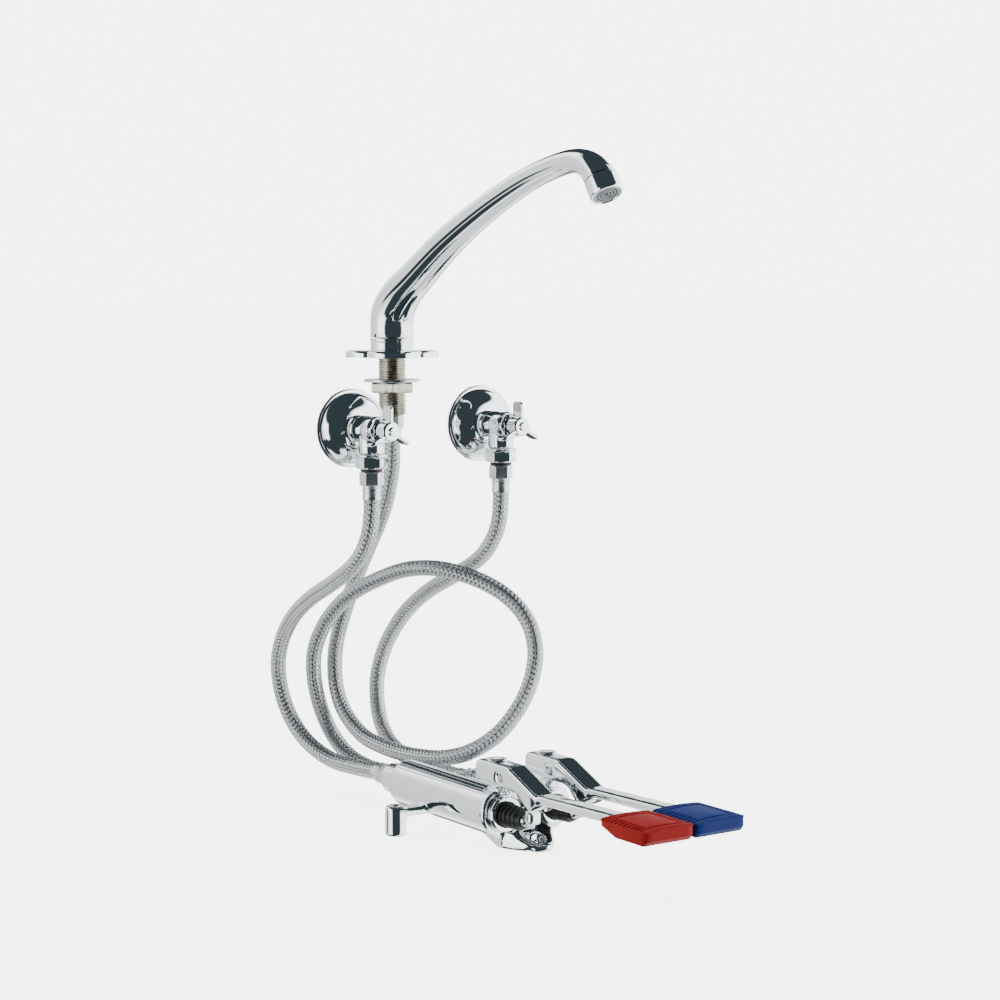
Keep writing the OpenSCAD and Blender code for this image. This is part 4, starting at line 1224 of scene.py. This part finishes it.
@dataclass
class Pedal(SidePart):
    """A pedal with its pad, and the plunger, boot and gland that it works."""

    pad_finish: Finish
    axis_z: float = -303.0
    barrel_front: float = 172.0
    gland_r: float = 12.7
    chamber_r: float = 11.4
    plunger_bore: float = 4.1
    gland_depth: float = 20.0
    boot_base: float = 174.0
    boot_front: float = 199.0
    boot_r: float = 8.6
    boot_valley: float = 6.4
    folds: int = 4
    stroke: float = 4.4
    spring_rear: float = 106.0
    spring_front: float = 132.0
    coil_r: float = 6.4
    wire_r: float = 0.6
    coils: int = 7
    pin_x: float = 180.0
    pin_z: float = -277.0
    pin_r: float = 2.5
    pin_half: float = 8.0
    arm_voxel: float = 0.65
    arm_passes: int = 60
    cap_x: float = 166.0
    top_z: float = -267.5
    pad_box: tuple[Point, Point] = ((306.0, -19.5, -288.0), (352.0, 19.5, -279.0))
    ribs: int = 11
    end_ribs: int = 2
    rib_edge: float = 1.2
    rib_w: float = 2.2
    rib_h: float = 1.3
    panel_half: float = 12.5
    panel_h: float = 0.8
    crown: float = 0.9

    def build(self) -> None:
        """Make the pedal's pieces."""
        word, r, half = self.word, self.pin_r, self.pin_half
        self.gland()
        self.boot()
        piece(f"{word}_push_plunger", cad_copy(f"{word}_plunger"), STEEL, f"{word}_plunger",
              [f"{word}_plunger"])
        redress(BLACK_RUBBER, f"{word}_valve_disc")
        self.spring()
        pin = turned(eased([(0, -half), (r, -half), (r, half), (0, half)], 0.4), 32)
        piece(f"{word}_hinge_pin", placed(pin, at(self.pin_x, self.y, self.pin_z) @ TO_Y), STEEL, "base",
              [f"{word}_pivot_pin"])
        arm = cast(cad_copy(f"{word}_pedal_arm"), self.arm_voxel, self.arm_passes)
        piece(f"{word}_lever_arm", arm, CAST_CHROME, f"{word}_pedal", [f"{word}_pedal_arm"], crease=80)
        self.cap()
        self.pad()

    @property
    def axis(self) -> Matrix:
        """Move that lays a shape turned about Z along the barrel."""
        return at(0, self.y, self.axis_z) @ TO_X

    def gland(self) -> None:
        """Turn the gland ring, ridged round its rim."""
        front, back, r = self.barrel_front, self.barrel_front - self.gland_depth, self.gland_r
        bore, seat = self.plunger_bore, self.boot_r + 0.3
        outline = [(bore, back), (self.chamber_r, back), (self.chamber_r, front), (r, front + 0.2),
                   (r, front + 1.6), (r - 0.6, front + 2.0), (r - 0.6, front + 2.5), (r, front + 2.9),
                   (r, front + 4.3), (r - 1.1, front + 5.9), (seat, front + 5.9), (seat, front + 2.0),
                   (bore, front + 2.0)]
        piece(f"{self.word}_gland_ring", placed(turned(eased(outline, 0.3)), self.axis), CHROME, "base",
              [f"{self.word}_gland"])

    def boot(self) -> None:
        """Mould the bellows boot with its folds."""
        base, tip, r, hug = self.boot_base, self.boot_front, self.boot_r - 0.1, self.plunger_bore + 0.1
        start, neck = base + 3.0, tip - 3.0
        waves = []
        for k in range(self.folds * 8 + 1):
            share = k / (self.folds * 8)
            swell = 0.5 - 0.5 * math.cos(share * self.folds * math.tau)
            wide = self.boot_valley + (self.boot_r - self.boot_valley) * swell
            waves.append((wide * (1 - 0.35 * share) + 0.35 * share * 5.6, start + (neck - start) * share))
        outline = [(hug, base + 0.1), (r, base + 0.1), (r, start - 0.6)] + waves
        outline += [(5.5, neck + 0.6), (5.5, tip - 0.4), (5.1, tip), (hug, tip)]
        skin = placed(turned(outline, 56), self.axis)
        boot = piece(f"{self.word}_bellows_boot", skin, BLACK_RUBBER, "base", [f"{self.word}_boot"],
                     crease=70)
        self.fold(boot, base, tip)

    def fold(self, thing: bpy.types.Object, held: float, pushed: float) -> None:
        """Give a piece its own copy of its mesh.

        Args:
            thing: the piece.
            held: end that stays, along X; not used.
            pushed: end that the plunger takes along; not used.
        """
        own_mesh(thing)

    def spring(self) -> None:
        """Wind the return spring behind the valve disc."""
        bm = bmesh.new()
        wire = bmesh.ops.create_circle(bm, cap_ends=False, segments=8, radius=self.wire_r)["verts"]
        low, high = self.spring_rear + self.wire_r, self.spring_front - self.wire_r
        placed(bm, at(self.coil_r, 0, low), Matrix.Rotation(math.pi / 2, 4, "X"))
        steps = 28 * self.coils
        bmesh.ops.spin(bm, geom=wire + bm.edges[:], cent=(0, 0, 0), axis=(0, 0, 1),
                       dvec=(0, 0, (high - low) / steps), angle=math.tau * self.coils, steps=steps,
                       use_merge=False, use_normal_flip=False, use_duplicate=False)
        bmesh.ops.holes_fill(bm, edges=[e for e in bm.edges if e.is_boundary], sides=8)
        bmesh.ops.recalc_face_normals(bm, faces=bm.faces)
        spring = piece(f"{self.word}_coil_spring", placed(bm, self.axis), STEEL, "base",
                       [f"{self.word}_return_spring"])
        self.fold(spring, self.spring_rear, self.spring_front)

    def cap(self) -> None:
        """Turn the domed cap on the arm."""
        dome = [(0, -3.0), (2.9, -3.0), (2.9, 0.02), (6.6, 0.02), (7.0, 0.35), (6.9, 0.75), (6.2, 1.1),
                (5.6, 1.02), (5.2, 0.75), (4.8, 1.0), (3.2, 1.12), (1.6, 1.16), (0, 1.17)]
        piece(f"{self.word}_dome_cap", placed(turned(dome, 48), at(self.cap_x, self.y, self.top_z)), CHROME,
              f"{self.word}_pedal", [f"{self.word}_arm_cap"], crease=60)

    def pad(self) -> None:
        """Mould the rubber pad: cross ribs round a plain panel on a crowned top, over a wedge below."""
        (back, left, _), (front, right, high) = self.pad_box
        half, panel = (right - left) / 2, self.panel_half
        # Each slice: its place across the pad, and how far the pad's ends are drawn in there
        side = [(-half, 2.2), (-half + 0.4, 1.1), (-half + 1.2, 0.4), (-half + 2.6, 0.0), (-panel - 0.6, 0.0)]
        slices = side + [(panel * k / 2, 0.0) for k in (-2, -1, 0, 1, 2)]
        slices += [(-y, inset) for y, inset in side[::-1]]
        bm = bmesh.new()
        loops = []
        for y, inset in slices:
            crown = self.crown * (1 - (y / half) ** 2)
            ring = []
            for x, z, zone in self.pad_outline():
                share = (x - back) / (front - back)
                moved = x + inset * (1 - 2 * share) * (2 if abs(share - 0.5) > 0.48 else 0)
                if zone is Zone.UNDER:
                    lift = 0.6 * inset
                else:
                    lift = crown * (1 - (2 * share - 1) ** 2) + crown - 0.3 * inset * (z - high) / self.rib_h
                if zone is Zone.PANEL and abs(y) <= panel:
                    z = high + self.panel_h
                ring.append(bm.verts.new((moved, self.y + y, z + lift)))
            loops.append(ring)
        rims = [[bm.edges.new((ring[i - 1], ring[i])) for i in range(len(ring))] for ring in loops]
        for one, other in zip(rims, rims[1:]):
            bmesh.ops.bridge_loops(bm, edges=one + other)
        for ring in (loops[0], loops[-1]):
            bm.faces.new(ring)
        bmesh.ops.recalc_face_normals(bm, faces=bm.faces)
        piece(f"{self.word}_rubber_pad", bm, self.pad_finish, f"{self.word}_pedal",
              [f"{self.word}_pedal_pad"], edge=0.2, crease=30)

    def pad_outline(self) -> list[tuple[float, float, Zone]]:
        """Draw the pad's lengthwise section.

        Returns:
            X, Z and the zone of each point.
        """
        (back, _, low), (front, _, high) = self.pad_box
        pitch = (front - back - 2 * self.rib_edge - self.rib_w) / (self.ribs - 1)
        top = []
        for k in range(self.ribs):
            x = back + self.rib_edge + k * pitch
            zone = Zone.PANEL if self.end_ribs <= k < self.ribs - self.end_ribs else Zone.RIB
            top += [(x, high, zone), (x + 0.3, high + self.rib_h, zone),
                    (x + self.rib_w - 0.3, high + self.rib_h, zone), (x + self.rib_w, high, zone)]
        return ([(back, low + 5.0, Zone.UNDER), (back, high - 0.6, Zone.RIB)] + top
                + [(front, high - 0.6, Zone.RIB), (front, low + 3.2, Zone.UNDER),
                   (front - 3.5, low, Zone.UNDER), (back + 16.0, low, Zone.UNDER)])


HOT_ROUTE: tuple[Point, ...] = (
    (53, -50, -98), (52.8, -50, -107), (50.5, -50.5, -121), (43.5, -51.5, -135), (30, -53, -148),
    (4, -54, -162), (-26, -53, -175), (-54, -51, -190), (-78, -48, -209), (-93, -45, -231), (-97, -41, -254),
    (-90, -36.5, -276), (-73, -31.5, -293), (-47, -26, -303), (-18, -21.5, -304.5), (11, -20.5, -303))
COLD_ROUTE: tuple[Point, ...] = (
    (53, 60, -98), (52.8, 60, -107), (50.5, 59.7, -121), (43.5, 58.5, -135), (29.5, 56.5, -149),
    (2, 52.5, -164), (-28, 48, -179), (-55, 44, -199), (-75, 40, -225), (-82.5, 36.5, -252),
    (-75.5, 33.5, -278), (-58, 31, -295), (-34, 28.5, -302.5), (-6, 26, -304.5), (20, 23, -304.5),
    (42, 21, -303.5), (59, 20.5, -303))
SPOUT_ROUTE: tuple[Point, ...] = (
    (0, 0, -62), (-1, 0, -82), (-8, 0, -104), (-20, 1, -122), (-36, 2, -141),
    (-56, 2, -168), (-72, 1, -196), (-81, -0.5, -219), (-83, -1.5, -238), (-78.5, -2, -257.5),
    (-66, -1.5, -274), (-43, 0, -287), (-16, 2, -291.5), (9, 4, -292.5), (32, 6.5, -291.5),
    (55, 11, -288.5), (76, 19, -281), (92, 30.5, -267.5), (100.5, 42.5, -249), (102.5, 52, -230),
    (99, 58.5, -209.5), (90, 59, -190), (75, 53.5, -174), (54, 42, -162), (29, 26, -155),
    (4, 14, -156), (-20, 4, -164), (-46, -8, -178.5), (-66, -16, -198), (-79, -20, -220),
    (-85, -19, -240), (-86, -15.5, -260), (-82.5, -11, -278), (-73, -7, -293.5), (-57, -3, -305),
    (-35, 0.5, -310), (-12, 2, -309.5), (11, 2, -309))


def main() -> None:
    """Build the studio, the hoses and then the other sub-assemblies."""
    logging.basicConfig(level=logging.INFO, format="%(message)s")
    Studio().build()
    for word, route in (("hot", HOT_ROUTE), ("cold", COLD_ROUTE), ("spout", SPOUT_ROUTE)):
        BraidedHose(word, route, at(*route[0]), at(*route[-1]) @ TO_X).build()
    DeckSpout().build()
    StopValve(Side.HOT, -50.0).build()
    StopValve(Side.COLD, 60.0).build()
    FloorValve().build()
    Pedal(Side.HOT, -20.5, RED_RUBBER).build()
    Pedal(Side.COLD, 20.5, BLUE_RUBBER).build()


if __name__ == "__main__":
    main()
